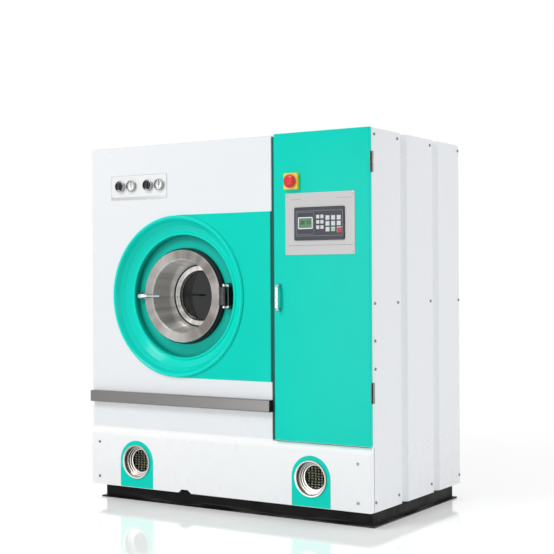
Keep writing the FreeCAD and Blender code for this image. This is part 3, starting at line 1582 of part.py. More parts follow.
def panel_screws():
    """Pan-head screws of the side panels and the kick panel."""
    body = new_body("panel_screws", LEFT, FRONT, SILL)
    head = S.screw_head / 2
    shank = S.screw_shank / 2
    for offset, outwards in ((0, True), (S.cabinet_width, False)):
        heads = [(y, z, head) for y, z in side_screws()]
        shanks = [(y, z, shank) for y, z in side_screws()]
        pad(body, sketch(body, "YZ_Plane", offset, circles=heads), S.screw_head_height,
            outwards)
        pad(body, sketch(body, "YZ_Plane", offset, circles=shanks), 8, not outwards)
    heads = [(x, z, head) for x, z in LOWER_SCREWS]
    shanks = [(x, z, shank) for x, z in LOWER_SCREWS]
    pad(body, sketch(body, "XZ_Plane", S.lower_panel_proud, circles=heads),
        S.screw_head_height)
    pad(body, sketch(body, "XZ_Plane", S.lower_panel_proud, circles=shanks), 8, True)
    return body


# ---------------------------------------------------------------- the whole machine
def build():
    """Every sub-part of the machine, from the plinth up."""
    gauges, knobs = gauge_points()
    return [
        base_frame(), cabinet_frame(), upper_front_panel(), fascia_plate(),
        lower_front_panel(), side_panel("side_panel_left", LEFT, -1),
        side_panel("side_panel_right", RIGHT, 1), rear_panel(), top_cover(),
        compartment_wall(), door_surround(), door_bezel(), bumper_bar(), arch_plates(),
        sight_rings(), sight_glasses(),
        solvent_tank("solvent_tank_left", S.left_port_across, 0),
        solvent_tank("solvent_tank_right", (SPLIT + S.right_port_in_bay), 30),
        door_ring(), door_bowl(), door_glass(), door_hinge_arm(), door_hinge_bracket(),
        latch_keeper(), latch_handle(), wash_tub(), tub_gasket(), bearing_housing(),
        shaft_bearings(), drum(), drum_front(), drum_pulley(), motor_pulley(), drive_belt(),
        drive_motor(), fan_housing(), fan_impeller(), air_duct(), solvent_pump(),
        vessel("solvent_filter", across(SPLIT + S.filter_in_bay), behind(S.vessel_back),
               S.filter_radius, S.filter_height, 40),
        vessel("solvent_still", across(SPLIT + S.still_in_bay), behind(S.vessel_back),
               S.still_radius, S.still_height, 30),
        gauge_plate(), gauge_cases(),
        gauge_pointer("gauge_pointer_left", gauges[0]),
        gauge_pointer("gauge_pointer_right", gauges[1]),
        regulator_knob("regulator_knob_left", knobs[0]),
        regulator_knob("regulator_knob_right", knobs[1]),
        cabinet_door_leaf(), control_plate(), controller_housing(), controller_display(),
        controller_keys(), pull_handle(), stop_button_box(), stop_button(),
        hinge_leaves("hinge_frame_leaves", (0, 2), True),
        hinge_leaves("hinge_door_leaves", (1,), False),
        switchgear_plate(), switchgear(), panel_screws(),
    ]


sub_parts = build()
doc.recompute()
for item in doc.Objects:
    if "Invalid" in item.State or "Error" in item.State:
        raise ValueError(f"{item.Name} has not been worked out: {item.State}")
os.makedirs("parts", exist_ok=True)
for part in sub_parts:
    if part.Shape.isNull() or not part.Shape.isValid():
        raise ValueError(f"{part.Label} has no valid solid")
    part.Shape.exportStep(f"parts/{part.Label}.step")
    print(f"{part.Label}: {len(part.Shape.Solids)} solid(s), {len(part.Shape.Faces)} faces")
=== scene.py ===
import math

import bpy
import numpy as np
from mathutils import Matrix, Vector


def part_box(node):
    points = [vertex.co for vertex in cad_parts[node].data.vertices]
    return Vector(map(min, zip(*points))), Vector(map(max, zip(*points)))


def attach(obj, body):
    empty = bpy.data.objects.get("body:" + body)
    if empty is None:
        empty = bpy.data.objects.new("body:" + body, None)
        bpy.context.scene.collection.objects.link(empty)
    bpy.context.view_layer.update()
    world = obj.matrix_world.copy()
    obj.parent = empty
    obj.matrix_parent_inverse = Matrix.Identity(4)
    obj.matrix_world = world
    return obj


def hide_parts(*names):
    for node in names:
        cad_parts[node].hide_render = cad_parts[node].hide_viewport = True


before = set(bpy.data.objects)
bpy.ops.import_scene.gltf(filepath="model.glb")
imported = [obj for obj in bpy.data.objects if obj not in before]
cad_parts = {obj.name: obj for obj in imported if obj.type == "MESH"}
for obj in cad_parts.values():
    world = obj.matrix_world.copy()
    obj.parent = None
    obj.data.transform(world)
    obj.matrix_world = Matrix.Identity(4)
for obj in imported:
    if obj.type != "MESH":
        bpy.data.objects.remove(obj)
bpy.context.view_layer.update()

# ---- plinth ---------------------------------------------------------------------------
# The machine stands on a welded frame of steel channel, flanges outwards.  It is sprayed
# black after welding, and its lower edge is scuffed grey where it was skidded into place.


class Reading:
    """A number that changes over a surface; sums on it become the shader's Math nodes."""

    def __init__(self, finish, socket):
        self.finish = finish
        self.socket = socket

    def work_out(self, operation, *numbers):
        return self.finish.node("ShaderNodeMath", {"operation": operation},
                                dict(enumerate(numbers)))

    def __add__(self, other):
        return self.work_out("ADD", self, other)

    def __radd__(self, other):
        return self.work_out("ADD", other, self)

    def __sub__(self, other):
        return self.work_out("SUBTRACT", self, other)

    def __rsub__(self, other):
        return self.work_out("SUBTRACT", other, self)

    def __mul__(self, other):
        return self.work_out("MULTIPLY", self, other)

    def __rmul__(self, other):
        return self.work_out("MULTIPLY", other, self)

    def __truediv__(self, other):
        return self.work_out("DIVIDE", self, other)

    def __pow__(self, other):
        return self.work_out("POWER", self, other)

    def above(self, level):
        return self.work_out("GREATER_THAN", self, level)

    def between(self, low, high):
        """0 below low, 1 above high, and a straight ramp in between."""
        return self.finish.node("ShaderNodeMapRange", {"clamp": True},
                                {"Value": self, "From Min": low, "From Max": high})


class Finish:
    """One surface finish: a Principled shader and the nodes that vary it."""

    def __init__(self, name, fixed):
        self.material = bpy.data.materials.new(name)
        self.material.use_nodes = True
        self.tree = self.material.node_tree
        self.shader = self.tree.nodes["Principled BSDF"]
        for socket, amount in fixed.items():
            self.shader.inputs[socket].default_value = amount

    def node(self, kind, settings, sockets, output=0):
        """Add a node: its settings first, then the value or link of each socket."""
        node = self.tree.nodes.new(kind)
        for name, setting in settings.items():
            setattr(node, name, setting)
        for name, amount in sockets.items():
            if isinstance(amount, Reading):
                self.tree.links.new(amount.socket, node.inputs[name])
            else:
                node.inputs[name].default_value = amount
        return Reading(self, node.outputs[output])

    def place(self, centre=(0, 0, 0), size=(1, 1, 1), turn=(0, 0, 0)):
        """Where a point lies: taken from the centre, turned back and divided by the size."""
        point = self.node("ShaderNodeTexCoord", {}, {}, "Object")
        return self.node("ShaderNodeMapping", {"vector_type": "TEXTURE"},
                         {"Vector": point, "Location": centre, "Rotation": turn,
                          "Scale": size})

    def part(self, point, letter):
        """One of a point's three numbers."""
        return self.node("ShaderNodeSeparateXYZ", {}, {"Vector": point}, letter)

    def cloud(self, size, detail=3.0, centre=(0, 0, 0)):
        """Soft noise from 0 to 1 whose lumps have the given size in metres."""
        size = size if isinstance(size, tuple) else (size, size, size)
        return self.node("ShaderNodeTexNoise", {}, {
            "Vector": self.place(centre, size), "Scale": 1.0, "Detail": detail})

    def blend(self, share, first, second):
        """The first colour where share is 0 and the second where it is 1."""
        return self.node("ShaderNodeMix", {"data_type": "RGBA"},
                         {0: share, 6: first, 7: second}, 2)

    def vary(self, **readings):
        """Link changing values to the shader, each by the plain name given here."""
        names = {"colour": "Base Color", "roughness": "Roughness", "metallic": "Metallic",
                 "coat": "Coat Weight", "alpha": "Alpha", "glow": "Emission Color"}
        for name, reading in readings.items():
            self.tree.links.new(reading.socket, self.shader.inputs[names[name]])
        return self

    def emboss(self, height, depth, strength=1.0):
        """Raise the surface where the height reading is large, by depth in metres."""
        lifted = self.node("ShaderNodeBump", {}, {
            "Height": height, "Distance": depth, "Strength": strength})
        self.tree.links.new(lifted.socket, self.shader.inputs["Normal"])
        return self

    def dress(self, *nodes):
        """Give CAD nodes this finish in place of their plain colour."""
        for name in nodes:
            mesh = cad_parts[name].data
            mesh.materials.clear()
            mesh.materials.append(self.material)
        return self


plinth_black = Finish("plinth black enamel", {"IOR": 1.2})
skid_height = plinth_black.part(plinth_black.place(), "Z")
scuff = (1 - skid_height.between(0.0, 0.03)) * plinth_black.cloud((0.3, 0.3, 0.01)).between(
    0.5, 0.62)
dust = plinth_black.cloud(0.08).between(0.45, 0.8)
plinth_black.vary(
    colour=plinth_black.blend(scuff, plinth_black.blend(
        dust * 0.4, (0.006, 0.0057, 0.0054, 1), (0.016, 0.0155, 0.015, 1)),
        (0.09, 0.088, 0.085, 1)),
    roughness=0.38 + 0.3 * dust)
plinth_black.emboss(plinth_black.cloud(0.006, 2.0), 0.0004, 0.3)
plinth_black.dress("base_frame")

# ---- inner frame ----------------------------------------------------------------------
# Angle steel cut and welded into six posts, a top curb, side rails and the tub's cradle.
# It has grey primer of uneven tone, matt in patches.
frame_grey = Finish("frame primer", {"IOR": 1.45})
primer_tone = frame_grey.cloud(0.05, 4.0)
frame_grey.vary(
    colour=frame_grey.blend(primer_tone.between(0.3, 0.75), (0.17, 0.18, 0.19, 1),
                            (0.23, 0.235, 0.24, 1)),
    roughness=0.55 + 0.2 * primer_tone)
frame_grey.emboss(frame_grey.cloud(0.002, 2.0), 0.0002, 0.4)
frame_grey.dress("cabinet_frame")

# ---- galvanised sheet -----------------------------------------------------------------
# The wall between the two chambers, the gear plate and the air duct are hot-dipped sheet.
# The zinc freezes in flat crystals a centimetre or two across, each with its own sheen.
zinc = Finish("galvanised sheet", {"Metallic": 1.0})
crystal = zinc.node("ShaderNodeTexVoronoi", {}, {
    "Vector": zinc.place(), "Scale": 55.0}, "Color")
crystal_tone = zinc.part(crystal, "X")
zinc.vary(
    colour=zinc.blend(crystal_tone, (0.42, 0.44, 0.46, 1), (0.58, 0.60, 0.62, 1)),
    roughness=0.34 + 0.18 * crystal_tone)
zinc.dress("compartment_wall", "switchgear_plate", "air_duct", "fan_impeller")

# ---- stainless vessels and tub --------------------------------------------------------
# Everything that touches solvent is rolled stainless sheet, left with its mill grain.
# The grain runs the way the sheet was rolled, and handling leaves faint dull patches.
mill_steel = Finish("mill stainless", {"Metallic": 1.0})
grain = mill_steel.cloud((0.35, 0.35, 0.0012), 3.0)
handled = mill_steel.cloud(0.12, 3.0).between(0.4, 0.8)
mill_steel.vary(
    colour=mill_steel.blend(grain, (0.48, 0.485, 0.49, 1), (0.66, 0.665, 0.67, 1)),
    roughness=0.24 + 0.14 * grain + 0.12 * handled)
mill_steel.emboss(grain, 0.00008, 0.5)
mill_steel.dress("wash_tub", "solvent_tank_left", "solvent_tank_right", "solvent_filter",
                 "solvent_still", "drum", "drum_front")

# ---- tank fittings --------------------------------------------------------------------
# Each solvent tank shows through a round sight window clamped by a turned stainless ring.
# The ring is machined in steps on a lathe, so it carries fine rings of tool marks.
# Its colour also carries painted light: lighter towards its face, painted shade on the bore
# walls, a painted highlight on the bead at the glass and a painted lit lower-left side.
sight_centres = ((-0.5145, 0.206), (0.4995, 0.206))
turned_ring = Finish("turned sight ring", {"Metallic": 1.0})
ring_spot = turned_ring.place()
ring_x = turned_ring.part(ring_spot, "X")
ring_rise = turned_ring.part(ring_spot, "Z") - sight_centres[0][1]
on_right = ring_x.above(0.0)
sights_apart = sight_centres[1][0] - sight_centres[0][0]
ring_across = ring_x - sight_centres[0][0] - on_right * sights_apart
ring_radius = (ring_across * ring_across + ring_rise * ring_rise) ** 0.5
ring_back, ring_face = -0.456, -0.491
bore_radii = (0.0620, 0.0680, 0.0730)
ring_depth = turned_ring.part(ring_spot, "Y").between(ring_back, ring_face)
tool_marks = turned_ring.node("ShaderNodeTexNoise", {"noise_dimensions": "1D"}, {
    "W": ring_radius * 900, "Scale": 1.0, "Detail": 2.0})
# Painted light: a painted highlight on the bead at the glass, painted shade on the bore walls and
# a painted lit lower-left side, mixed with the tool marks.
painted_bead_highlight = 1 - ring_radius.between(0.0585, 0.0595)
painted_bore_shade = sum(ring_radius.work_out("COMPARE", ring_radius, bore, 0.0006)
                 for bore in bore_radii)
painted_lit_lower_left = ((0.05 - ring_rise - 0.7 * ring_across) / 0.1).between(0.30, 1.35)
painted_light_and_marks = (0.42 + 0.12 * ring_depth - 0.62 * painted_bore_shade + 0.30 * painted_bead_highlight
             + 0.16 * tool_marks + 0.55 * painted_lit_lower_left)
turned_ring.vary(
    colour=turned_ring.blend(painted_light_and_marks.between(0.0, 1.0), (0.030, 0.026, 0.023, 1),
                             (0.80, 0.75, 0.72, 1)),
    roughness=0.20 + 0.2 * tool_marks)
turned_ring.emboss(tool_marks, 0.0002, 0.5)
turned_ring.dress("sight_rings")

window_glass = Finish("sight window glass", {
    "IOR": 1.18, "Transmission Weight": 1.0, "Base Color": (0.80, 0.84, 0.76, 1)})
film = window_glass.cloud(0.03, 4.0)
window_glass.vary(roughness=0.02 + 0.06 * film)
window_glass.dress("sight_glasses")


def skin(name, shells, finish, body, crease=35):
    """Make one mesh of closed shells.

    A shell is (rings, wrapped): rings is an array of m rings of n points.  Neighbouring rings
    are joined by quads, and the last point of a ring to its first.  Wrapped shells also join
    the last ring to the first; the others are capped by a fan to the middle of the end ring.
    """
    points, faces, count = [], [], 0
    for rings, wrapped in shells:
        rings = np.asarray(rings, dtype=float)
        m, n = rings.shape[:2]
        index = np.arange(m * n).reshape(m, n)
        near_side = index if wrapped else index[:-1]
        far_side = np.roll(index, -1, axis=0) if wrapped else index[1:]
        quads = np.stack([near_side, np.roll(near_side, -1, axis=1),
                          np.roll(far_side, -1, axis=1), far_side], axis=-1).reshape(-1, 4)
        flat = rings.reshape(-1, 3)
        halves = np.concatenate([quads[:, [0, 1, 2]], quads[:, [0, 2, 3]]])
        fans = np.zeros((0, 3), dtype=int)
        if not wrapped:
            flat = np.concatenate([flat, rings[[0, -1]].mean(axis=1)])
            first, last = index[0], index[-1]
            fans = np.concatenate([
                np.stack([np.roll(first, -1), first, np.full(n, m * n)], axis=-1),
                np.stack([last, np.roll(last, -1), np.full(n, m * n + 1)], axis=-1)])
            halves = np.concatenate([halves, fans])
        corner = flat[halves]
        volume = np.einsum("ij,ij->i", corner[:, 0], np.cross(corner[:, 1], corner[:, 2])).sum()
        if volume < 0:
            quads, fans = quads[:, ::-1], fans[:, ::-1]
        points.append(flat)
        faces.extend((quads + count).tolist())
        faces.extend((fans + count).tolist())
        count += len(flat)
    mesh = bpy.data.meshes.new(name)
    mesh.from_pydata(np.concatenate(points).tolist(), [], faces)
    mesh.polygons.foreach_set("use_smooth", np.ones(len(faces), dtype=bool))
    mesh.set_sharp_from_angle(angle=math.radians(crease))
    mesh.materials.append(finish.material)
    piece = bpy.data.objects.new(name, mesh)
    bpy.context.scene.collection.objects.link(piece)
    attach(piece, body)
    return piece


def turned(profile, x, z, steps=72):
    """Rings of a profile of (radius, y) turned about a line along Y through (x, z)."""
    profile = np.asarray(profile, dtype=float)
    angle = np.linspace(0, 2 * np.pi, steps, endpoint=False)
    radius, depth = profile[:, :1], profile[:, 1:]
    return np.stack([x + radius * np.cos(angle), depth + 0 * angle,
                     z + radius * np.sin(angle)], axis=-1)


# Behind each glass lies the tank's strainer, a dark dished disc pierced by rows of holes.
strainer = Finish("tank strainer", {"IOR": 1.3})
mesh_spot = strainer.place((sight_centres[0][0], 0, sight_centres[0][1]))
holes_across = mesh_spot.work_out("SINE", strainer.part(mesh_spot, "X") * 370.0)
holes_up = mesh_spot.work_out("SINE", strainer.part(mesh_spot, "Z") * 500.0)
wet = holes_across.between(-0.1, 0.5) * holes_up.between(-0.1, 0.5)
strainer_tone = strainer.cloud(0.03, 3.0)
strainer.vary(
    colour=strainer.blend(wet * (0.5 + strainer_tone), (0.002, 0.002, 0.0015, 1),
                          (0.40, 0.37, 0.24, 1)),
    roughness=0.6 + 0.2 * strainer_tone)
strainer.emboss(wet, 0.0004, 0.6)
strainer_profile = ((0.002, -0.4245), (0.030, -0.4255), (0.050, -0.428), (0.0572, -0.431),
                    (0.0572, -0.4295), (0.050, -0.4265), (0.030, -0.424), (0.002, -0.4235))
for side, (middle_x, middle_z) in zip(("left", "right"), sight_centres):
    skin(f"strainer_disc_{side}", [(turned(strainer_profile, middle_x, middle_z), False)],
         strainer, "cabinet")

# ---- pump and motor -------------------------------------------------------------------
# The solvent pump and the drive motor are ribbed grey iron castings in air-dried paint.
# The casting's sand texture stays under the paint, and dust lies on it in patches.
motor_grey = Finish("motor paint", {"IOR": 1.46})
sand_cast = motor_grey.cloud(0.0018, 3.0)
settled = motor_grey.cloud(0.05).between(0.4, 0.75)
motor_grey.vary(
    colour=motor_grey.blend(settled * 0.6, (0.055, 0.09, 0.13, 1), (0.17, 0.18, 0.185, 1)),
    roughness=0.4 + 0.3 * settled)
motor_grey.emboss(sand_cast, 0.0004, 0.6)
motor_grey.dress("drive_motor", "solvent_pump", "fan_housing")

# ---- drum drive -----------------------------------------------------------------------
# The pulleys and the bearing housing are grey cast iron, bare where they were turned.
# A pair of rolling bearings and a rubber belt go with them at the back of the tub.
cast_iron = Finish("bare cast iron", {"Metallic": 0.85})
iron_tone = cast_iron.cloud(0.012, 5.0)
rust = cast_iron.cloud(0.03, 5.0).between(0.6, 0.72)
cast_iron.vary(
    colour=cast_iron.blend(rust * 0.5, cast_iron.blend(
        iron_tone, (0.16, 0.165, 0.17, 1), (0.27, 0.275, 0.28, 1)), (0.16, 0.08, 0.045, 1)),
    roughness=0.45 + 0.25 * iron_tone)
cast_iron.emboss(cast_iron.cloud(0.0015, 3.0), 0.0003, 0.6)
cast_iron.dress("bearing_housing", "drum_pulley", "motor_pulley")

ground_steel = Finish("ground bearing steel", {"Metallic": 1.0})
polish = ground_steel.cloud(0.004, 3.0)
ground_steel.vary(
    colour=ground_steel.blend(polish, (0.45, 0.46, 0.47, 1), (0.62, 0.63, 0.64, 1)),
    roughness=0.16 + 0.14 * polish)
ground_steel.emboss(polish, 0.00005, 0.4)
ground_steel.dress("shaft_bearings")

moulded_rubber = Finish("moulded rubber", {"IOR": 1.5})
rubber_bloom = moulded_rubber.cloud(0.015, 4.0)
moulded_rubber.vary(
    colour=moulded_rubber.blend(rubber_bloom, (0.011, 0.011, 0.012, 1),
                                (0.035, 0.035, 0.036, 1)),
    roughness=0.5 + 0.3 * rubber_bloom)
moulded_rubber.emboss(moulded_rubber.cloud(0.0012, 2.0), 0.0002, 0.5)
moulded_rubber.dress("drive_belt", "tub_gasket")

# ---- switchgear -----------------------------------------------------------------------
# Contactors, fuses and terminal blocks clip to rails on the gear plate.  They are moulded
# in grey-black thermoset with a fine matt grain.
gear_plastic = Finish("switchgear plastic", {"IOR": 1.5})
gear_tone = gear_plastic.cloud(0.04, 2.0)
gear_plastic.vary(
    colour=gear_plastic.blend(gear_tone, (0.035, 0.036, 0.038, 1), (0.075, 0.076, 0.08, 1)),
    roughness=0.42 + 0.2 * gear_tone)
gear_plastic.emboss(gear_plastic.cloud(0.0009, 2.0), 0.00015, 0.5)
gear_plastic.dress("switchgear")

# ---- outer sheets ---------------------------------------------------------------------
# The cabinet is clad in folded steel sheet, stove enamelled a cool white.  The enamel has
# a faint orange peel and a little grey dirt near the floor.  The low front sheet is painted
# lighter as painted light, and the bend at its top carries a painted highlight.
white_enamel = Finish("white stove enamel", {"IOR": 1.5})
sheet_spot = white_enamel.place()
place_height = white_enamel.part(sheet_spot, "Z")
low_dirt = (1 - place_height.between(0.07, 0.35)) * white_enamel.cloud(
    (0.05, 0.05, 0.16), 4.0).between(0.42, 0.8)
shade_drift = white_enamel.cloud(0.6, 2.0)
# Painted light: the low front sheet is coloured lighter, and the bend at its top lighter still as
# a painted highlight.
painted_lit_low_front = (1 - place_height.between(0.368, 0.372)) * (
    1 - white_enamel.part(sheet_spot, "Y").between(-0.4535, -0.4525))
painted_fold_highlight = painted_lit_low_front * place_height.between(0.330, 0.345)
white_enamel.vary(
    colour=white_enamel.blend(low_dirt * 0.10, white_enamel.blend(
        painted_lit_low_front * 0.5 + painted_fold_highlight * 0.5, white_enamel.blend(
            shade_drift, (0.80, 0.82, 0.845, 1), (0.82, 0.838, 0.862, 1)),
        (0.97, 0.97, 0.97, 1)), (0.60, 0.60, 0.59, 1)),
    roughness=0.24 + 0.06 * shade_drift + 0.3 * low_dirt)
white_enamel.emboss(white_enamel.cloud(0.004, 1.0), 0.0002, 0.12)
white_enamel.dress("side_panel_left", "side_panel_right", "rear_panel", "top_cover",
                   "upper_front_panel", "lower_front_panel", "door_surround")

# ---- teal fittings --------------------------------------------------------------------
# The door, the fascia, the arched cover plates and the spun door surround are painted a
# bright blue green.  It is a glossy two-coat enamel, slightly deeper in the second coat.
teal_enamel = Finish("teal enamel", {"IOR": 1.18})
coat_drift = teal_enamel.cloud(0.25, 3.0)
teal_enamel.vary(
    colour=teal_enamel.blend(coat_drift, (0.001, 0.63, 0.50, 1), (0.002, 0.69, 0.555, 1)),
    roughness=0.16 + 0.08 * coat_drift)
teal_enamel.emboss(teal_enamel.cloud(0.004, 1.0), 0.0002, 0.12)
teal_enamel.dress("fascia_plate", "arch_plates", "cabinet_door_leaf")

# The bezel is spun from sheet and sprayed with the same enamel.  Down in the dish its
# colour is darkened as painted shade, deepest towards the dish wall, and it is rougher there.
door_centre = (-0.269, 1.034)
dish_edge, dish_mouth = 0.303, 0.309
bezel_enamel = Finish("teal bezel enamel", {"IOR": 1.22})
bezel_drift = bezel_enamel.cloud(0.25, 3.0)
bezel_spot = bezel_enamel.place((door_centre[0], 0, door_centre[1]))
bezel_x, bezel_z = bezel_enamel.part(bezel_spot, "X"), bezel_enamel.part(bezel_spot, "Z")
bezel_radius = (bezel_x * bezel_x + bezel_z * bezel_z) ** 0.5
in_dish = bezel_enamel.part(bezel_spot, "Y").between(-0.446, -0.398) * (
    1 - bezel_radius.between(dish_edge, dish_mouth))
# Painted shade in the dish, deepest towards its wall; the same mask also roughens it.
painted_dish_shade = in_dish * (0.30 + 0.50 * bezel_radius.between(0.250, dish_edge))
bezel_enamel.vary(
    colour=bezel_enamel.blend(painted_dish_shade, bezel_enamel.blend(
        bezel_drift, (0.003, 0.70, 0.57, 1), (0.005, 0.76, 0.62, 1)), (0.003, 0.20, 0.155, 1)),
    roughness=0.14 + 0.08 * bezel_drift + 0.3 * painted_dish_shade)
bezel_enamel.emboss(bezel_enamel.cloud(0.004, 1.0), 0.0002, 0.12)
bezel_enamel.dress("door_bezel")

# ---- loading door ---------------------------------------------------------------------
# A thick stainless ring carries a pressed bowl with a glass at its bottom.  Ring and bowl
# are polished on a spindle, so fine circular scratches stretch the reflections.


def spun_steel(name, dark, light, fine, dull, edges, lean, bright=1.0):
    """Polished steel with fine spin marks, whose colour carries painted reflection and painted
    light.

    The painted reflection fans out from the door's axis. The lean says how much painted light
    brightens it towards +X and towards the top, and the edges how bright the painted highlights
    on the ring's inner and outer edge are.
    """
    metal = Finish(name, {"Metallic": bright})
    spot = metal.place((door_centre[0], 0, door_centre[1]))
    flat_spot = metal.node("ShaderNodeCombineXYZ", {}, {
        "X": metal.part(spot, "X"), "Z": metal.part(spot, "Z")})
    radius = metal.node("ShaderNodeVectorMath", {"operation": "LENGTH"}, {0: flat_spot}, "Value")
    heading = metal.node("ShaderNodeVectorMath", {"operation": "NORMALIZE"}, {0: flat_spot})
    fan = metal.node("ShaderNodeTexNoise", {}, {
        "Vector": heading, "Scale": fine, "Detail": 3.0}).between(0.36, 0.66)
    marks = metal.node("ShaderNodeTexNoise", {"noise_dimensions": "1D"}, {
        "W": radius * 700, "Scale": 1.0, "Detail": 3.0})
    # Painted highlights on the ring's inner and outer edge, painted reflection fanning round the
    # axis and painted light towards one side all go into the colour.
    outer_rim = radius.between(0.2215, 0.2290)
    inner_rim = 1 - radius.between(0.1835, 0.1880)
    painted_side_light = lean[0] * metal.part(heading, "X") + lean[1] * metal.part(heading, "Z")
    painted_rim_highlights = edges * (outer_rim + inner_rim)
    tone = (0.66 * fan + 0.18 * marks + painted_rim_highlights + painted_side_light).between(0.0, 1.0)
    metal.vary(colour=metal.blend(tone, (*dark, 1), (*light, 1)),
               roughness=dull + 0.12 * marks + 0.06 * metal.cloud(0.05, 3.0))
    metal.emboss(marks, 0.00012, 0.5)
    return metal


ring_steel = spun_steel("spun ring steel", (0.17, 0.152, 0.140), (0.50, 0.48, 0.465), 1.7,
                        0.20, 0.55, (-0.30, -0.05))
ring_steel.dress("door_ring")
bowl_steel = spun_steel("pressed bowl steel", (0.36, 0.34, 0.32), (0.97, 0.95, 0.93), 3.4,
                        0.22, 0.0, (-0.38, 0.22), 0.55)
bowl_steel.dress("door_bowl")

# A black rubber band is stretched over the ring's edge, and a soft lip lines the hole that
# the door closes, so that only black shows between the ring and the bezel.
seal_rubber = Finish("soft seal rubber", {"IOR": 1.4})
seal_tone = seal_rubber.cloud(0.02, 3.0)
seal_rubber.vary(
    colour=seal_rubber.blend(seal_tone, (0.004, 0.004, 0.0045, 1), (0.012, 0.012, 0.0125, 1)),
    roughness=0.55 + 0.25 * seal_tone)
seal_rubber.emboss(seal_rubber.cloud(0.0012, 2.0), 0.0002, 0.4)
band_profile = ((0.2296, -0.4270), (0.2302, -0.4268), (0.2306, -0.4260), (0.2306, -0.4180),
                (0.2302, -0.4168), (0.2280, -0.4164), (0.2280, -0.4175), (0.2296, -0.4180))
skin("door_rim_band", [(turned(band_profile, *door_centre, 144), True)], seal_rubber,
     "loading_door")
lip_profile = ((0.2215, -0.4100), (0.2245, -0.4132), (0.2310, -0.4138), (0.2368, -0.4105),
               (0.2376, -0.4040), (0.2376, -0.3860), (0.2215, -0.3860))
skin("bezel_hole_lip", [(turned(lip_profile, *door_centre, 144), True)], seal_rubber,
     "cabinet")

bowl_glass = Finish("door glass", {
    "IOR": 1.5, "Transmission Weight": 1.0, "Base Color": (0.12, 0.13, 0.13, 1)})
bowl_film = bowl_glass.cloud(0.05, 3.0)
bowl_glass.vary(roughness=0.015 + 0.04 * bowl_film)
bowl_glass.dress("door_glass")

# The glass is clamped by a black glazing cord, and a thicker one lies at the foot of the wall.
cords = ((0.1240, -0.2755, 0.0026), (0.1552, -0.2800, 0.0042))
ring_bend = np.linspace(0, 2 * np.pi, 10, endpoint=False)
skin("door_glazing_cords", [
    (turned(np.stack([radius + thick * np.cos(ring_bend), depth + thick * np.sin(ring_bend)],
                     axis=-1), *door_centre, 120), True)
    for radius, depth, thick in cords], seal_rubber, "loading_door")

bright_chrome = Finish("bright chrome", {"Metallic": 1.0})
finger_marks = bright_chrome.cloud(0.015, 4.0)
bright_chrome.vary(
    colour=bright_chrome.blend(finger_marks, (0.42, 0.42, 0.425, 1), (0.76, 0.765, 0.77, 1)),
    roughness=0.07 + 0.12 * finger_marks)
bright_chrome.emboss(bright_chrome.cloud(0.003, 2.0), 0.00005, 0.4)
bright_chrome.dress("latch_handle", "pull_handle")

hinge_steel = Finish("blackened hinge steel", {"Metallic": 0.5})
rubbed = hinge_steel.cloud(0.008, 4.0).between(0.5, 0.8)
hinge_steel.vary(
    colour=hinge_steel.blend(rubbed, (0.03, 0.03, 0.034, 1), (0.13, 0.11, 0.105, 1)),
    roughness=0.3 + 0.2 * rubbed)
hinge_steel.emboss(hinge_steel.cloud(0.0015, 3.0), 0.0002, 0.5)
hinge_steel.dress("door_hinge_bracket", "door_hinge_arm", "latch_keeper")


def upright(profile, x, y, steps=40):
    """Rings of a profile of (radius, z) turned about a vertical line through (x, y)."""
    profile = np.asarray(profile, dtype=float)
    angle = np.linspace(0, 2 * np.pi, steps, endpoint=False)
    radius, height = profile[:, :1], profile[:, 1:]
    return np.stack([x + radius * np.cos(angle), y + radius * np.sin(angle),
                     height + 0 * angle], axis=-1)


def rounded(low, high, corner, inset, depth, steps=7):
    """A ring at one depth round a rectangle in X and Z, its sides drawn in by the inset.

    Each corner is a quarter circle, of the corner radius less the inset, about a fixed middle.
    """
    middles = np.array([(high[0] - corner, high[1] - corner), (low[0] + corner, high[1] - corner),
                        (low[0] + corner, low[1] + corner), (high[0] - corner, low[1] + corner)])
    angle = np.arange(4)[:, None] * np.pi / 2 + np.linspace(0, np.pi / 2, steps)
    across = middles[:, :1] + (corner - inset) * np.cos(angle)
    height = middles[:, 1:] + (corner - inset) * np.sin(angle)
    return np.stack([across, 0 * across + depth, height], axis=-1).reshape(-1, 3)


def block(low, high, corner, back, front, edge):
    """A rounded plate from its back to its front face, whose front edge is rounded off."""
    turn = np.linspace(0, np.pi / 2, 4)
    rings = [rounded(low, high, corner, 0.0, back)]
    rings += [rounded(low, high, corner, edge * (1 - np.cos(bend)),
                      front + edge * (1 - np.sin(bend))) for bend in turn]
    return np.stack(rings), False


def surround(low, high, corner, width, back, front):
    """A flat rectangular frame of the given width, from its back to its front face."""
    return np.stack([rounded(low, high, corner, 0.0, back), rounded(low, high, corner, 0.0, front),
                     rounded(low, high, corner, width, front),
                     rounded(low, high, corner, width, back)]), True


# The door turns on a pin held between the two lugs of a bright cast stand.  The strap round
# the pin is blackened, and is screwed to the ring's side.
pin_x, pin_y = -0.019, -0.420
bezel_floor = -0.386
lug_feet = (0.9755, 1.0805)
knuckle = ((0.0070, 0.9885), (0.0095, 0.9895), (0.0100, 0.9910), (0.0100, 1.0260),
           (0.0090, 1.0275), (0.0090, 1.0405), (0.0100, 1.0420), (0.0100, 1.0770),
           (0.0095, 1.0785), (0.0070, 1.0795))
door_hinge_strap = skin("door_hinge_strap", [
    (upright(knuckle, pin_x, pin_y), False),
    block((-0.0480, 0.9900), (-0.0190, 1.0780), 0.004, -0.4150, -0.4305, 0.002),
    block((-0.0440, 1.0480), (-0.0320, 1.0600), 0.0055, -0.4300, -0.4330, 0.0015),
    block((-0.0440, 1.0080), (-0.0320, 1.0200), 0.0055, -0.4300, -0.4330, 0.0015)],
    hinge_steel, "loading_door")
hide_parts("door_hinge_arm")

